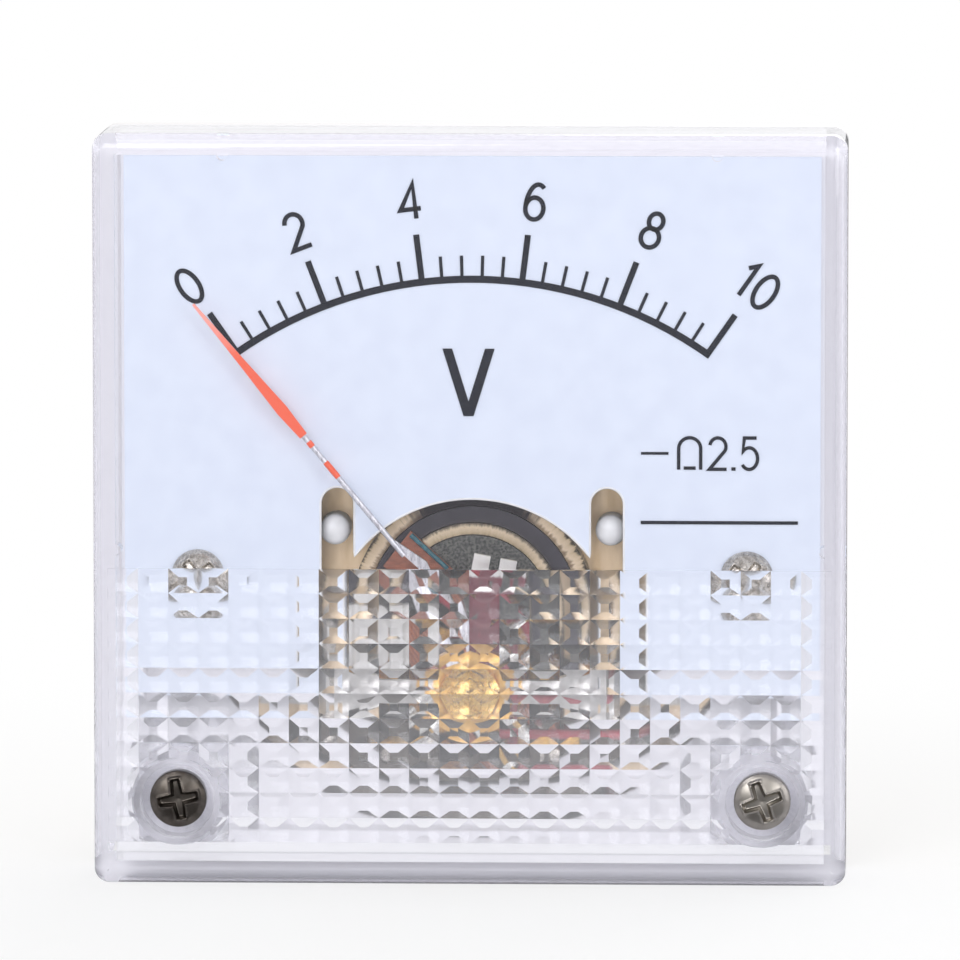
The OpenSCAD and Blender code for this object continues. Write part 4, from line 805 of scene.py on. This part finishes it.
def terminals():
    pair = [stud((side * terminal["x"], terminal["y"])) for side in (-1, 1)]
    addPiece("threaded_studs", *joined(pair), materials["brass, turned"], "terminal_studs",
             replaced=("terminal_studs",), sharp=30)
    low, high = meter["barrelEnd"] - 0.25, meter["barrelEnd"] + 0.05
    signs = []
    for side in (-1, 1):
        x, y = side * terminal["x"], terminal["signY"]
        half, width = terminal["signHalf"], terminal["signWidth"]
        signs.append(stroke([(x - half, y), (x + half, y)], width, low, high))
        if side < 0:
            signs.append(stroke([(x, y - half), (x, y + half)], width, low, high))
    addPiece("polarity_signs", *joined(signs), materials["plastic"], "base")


terminals()


# Each patch's start and end, from the pivot; their skin lies just off the tube and swells in the middle
tubePatch = {"reaches": [(14.95, 16.15), (17.35, 17.75)], "radius": 0.172, "swell": 0.018}


# Patches of the pointer's enamel left on its tube, as thin sleeves round it
def tubePatches():
    rest, lean = math.radians(meter["restAngle"]), math.radians(meter["pointerLean"])
    steps, sides = 16, 20
    sleeves = []
    for start, end in tubePatch["reaches"]:
        share = np.linspace(0, 1, steps)[:, None]
        angle = np.linspace(0, 2 * np.pi, sides, endpoint=False)[None, :]
        swell = tubePatch["radius"] + tubePatch["swell"] * np.sin(np.pi * share) ** 0.5
        back = meter["pointerLength"] - (start + (end - start) * share)
        aside = swell * np.cos(angle)
        across = back * math.sin(lean) + aside * math.cos(lean)
        along = meter["pointerLength"] - back * math.cos(lean) + aside * math.sin(lean)
        x = across * math.cos(rest) - along * math.sin(rest)
        y = meter["pivotY"] + across * math.sin(rest) + along * math.cos(rest)
        z = meter["pointerZ"] + swell * np.sin(angle)
        faces = [face[::-1] for face in gridFaces(steps, sides, False, True)]
        last = (steps - 1) * sides
        faces += [list(range(sides)), list(range(last, last + sides))[::-1]]
        sleeves.append((np.stack([x, y, z], 2), faces))
    addPiece("tube_patches", *joined(sleeves), materials["pointerRed"], "pointer_blade", body="needle")


tubePatches()
print("pieces made")

studio = {
    "cameraDistance": 600.0,   # from the aim to the lens, mm
    "azimuth": 2.3,
    "elevation": 5.75,
    "aim": (0.66, -10.0, 1.9),
    "focal": 377.7,
    "ambient": 0.72,
    "keyPower": 1.3,
    "fillPower": 0.72,
}


# Soft boxes: position and size in mm, power in watts
def softBox(name, position, size, power):
    lamp = bpy.data.lights.new(name, "AREA")
    lamp.shape = "SQUARE"
    lamp.size = size * mm
    lamp.energy = power
    box = bpy.data.objects.new(name, lamp)
    box.location = Vector(position) * mm
    box.rotation_euler = (Vector((0, -5, 0)) - Vector(position)).to_track_quat("-Z", "Y").to_euler()
    bpy.context.scene.collection.objects.link(box)


def lightRoom():
    world = bpy.data.worlds.new("white room")
    bpy.context.scene.world = world
    world.use_nodes = True
    tree = world.node_tree
    tree.nodes.clear()
    path = addNode(tree, "ShaderNodeLightPath")
    mirrored = addNode(tree, "ShaderNodeMath", {0: path.outputs["Is Glossy Ray"],
                                                1: path.outputs["Is Transmission Ray"]}, operation="MAXIMUM")
    seen = addNode(tree, "ShaderNodeMath", {0: path.outputs["Is Camera Ray"], 1: mirrored.outputs[0]},
                   operation="MAXIMUM")
    level = addNode(tree, "ShaderNodeMapRange",
                    {"Value": seen.outputs[0], "To Min": studio["ambient"], "To Max": 1.0})
    sky = addNode(tree, "ShaderNodeBackground", {"Color": (1, 1, 1, 1), "Strength": level.outputs[0]})
    addNode(tree, "ShaderNodeOutputWorld", {"Surface": sky.outputs[0]})
    softBox("key", (-190, -540, 260), 320, studio["keyPower"])
    softBox("fill", (330, -470, 90), 280, studio["fillPower"])
    softBox("rear", (120, 420, 260), 260, studio["fillPower"])


# White floor: matt near the meter, so that it holds the shadow, and plain white further out
def layFloor():
    low = cadBox[0].z
    half = 2.5
    mesh = bpy.data.meshes.new("floor")
    mesh.from_pydata([(-half, -half, low), (half, -half, low), (half, half, low), (-half, half, low)], [],
                     [(0, 1, 2, 3)])
    floor = bpy.data.objects.new("floor", mesh)
    bpy.context.scene.collection.objects.link(floor)
    material, tree = startMaterial("paper, matt white")
    coords = addNode(tree, "ShaderNodeTexCoord")
    flat = addNode(tree, "ShaderNodeMapping", {"Vector": coords.outputs["Object"], "Scale": (1, 1, 0)})
    away = addNode(tree, "ShaderNodeVectorMath", {0: flat.outputs[0]}, operation="LENGTH")
    share = addNode(tree, "ShaderNodeMapRange", {"Value": away.outputs["Value"], "From Min": 30 * mm,
                                                 "From Max": 110 * mm}, interpolation_type="SMOOTHSTEP")
    path = addNode(tree, "ShaderNodeLightPath")
    tone = addNode(tree, "ShaderNodeMix", {0: path.outputs["Is Glossy Ray"], 6: (0.8, 0.8, 0.8, 1),
                                           7: (0.3, 0.3, 0.3, 1)}, data_type="RGBA")
    matt = addNode(tree, "ShaderNodeBsdfDiffuse", {"Color": tone.outputs[2]})
    shadowed = addNode(tree, "ShaderNodeBsdfDiffuse", {"Color": (0.36, 0.36, 0.36, 1)})
    lift = addNode(tree, "ShaderNodeEmission", {"Color": (1, 1, 1, 1), "Strength": 0.62})
    near = addNode(tree, "ShaderNodeAddShader", {0: shadowed.outputs[0], 1: lift.outputs[0]})
    plain = addNode(tree, "ShaderNodeEmission", {"Color": (1, 1, 1, 1), "Strength": 1.0})
    looked = addNode(tree, "ShaderNodeMixShader",
                     {0: share.outputs[0], 1: near.outputs[0], 2: plain.outputs[0]})
    seen = addNode(tree, "ShaderNodeMixShader",
                   {0: path.outputs["Is Camera Ray"], 1: matt.outputs[0], 2: looked.outputs[0]})
    both = addNode(tree, "ShaderNodeMixShader", {0: path.outputs["Is Transmission Ray"], 1: seen.outputs[0],
                                                 2: plain.outputs[0]})
    addNode(tree, "ShaderNodeOutputMaterial", {"Surface": both.outputs[0]})
    mesh.materials.append(material)


def placeCamera():
    camera = bpy.data.cameras.new("camera")
    camera.lens = studio["focal"]
    camera.sensor_width = 36.0
    camera.clip_start, camera.clip_end = 0.01, 20.0
    view = bpy.data.objects.new("camera", camera)
    turn, rise = math.radians(studio["azimuth"]), math.radians(studio["elevation"])
    back = Vector((math.sin(turn) * math.cos(rise), -math.cos(turn) * math.cos(rise), math.sin(rise)))
    view.location = (Vector(studio["aim"]) + back * studio["cameraDistance"]) * mm
    view.rotation_euler = (-back).to_track_quat("-Z", "Y").to_euler()
    bpy.context.scene.collection.objects.link(view)
    bpy.context.scene.camera = view
    bpy.context.scene.view_settings.view_transform = "Standard"


lightRoom()
layFloor()
placeCamera()
print("studio set")
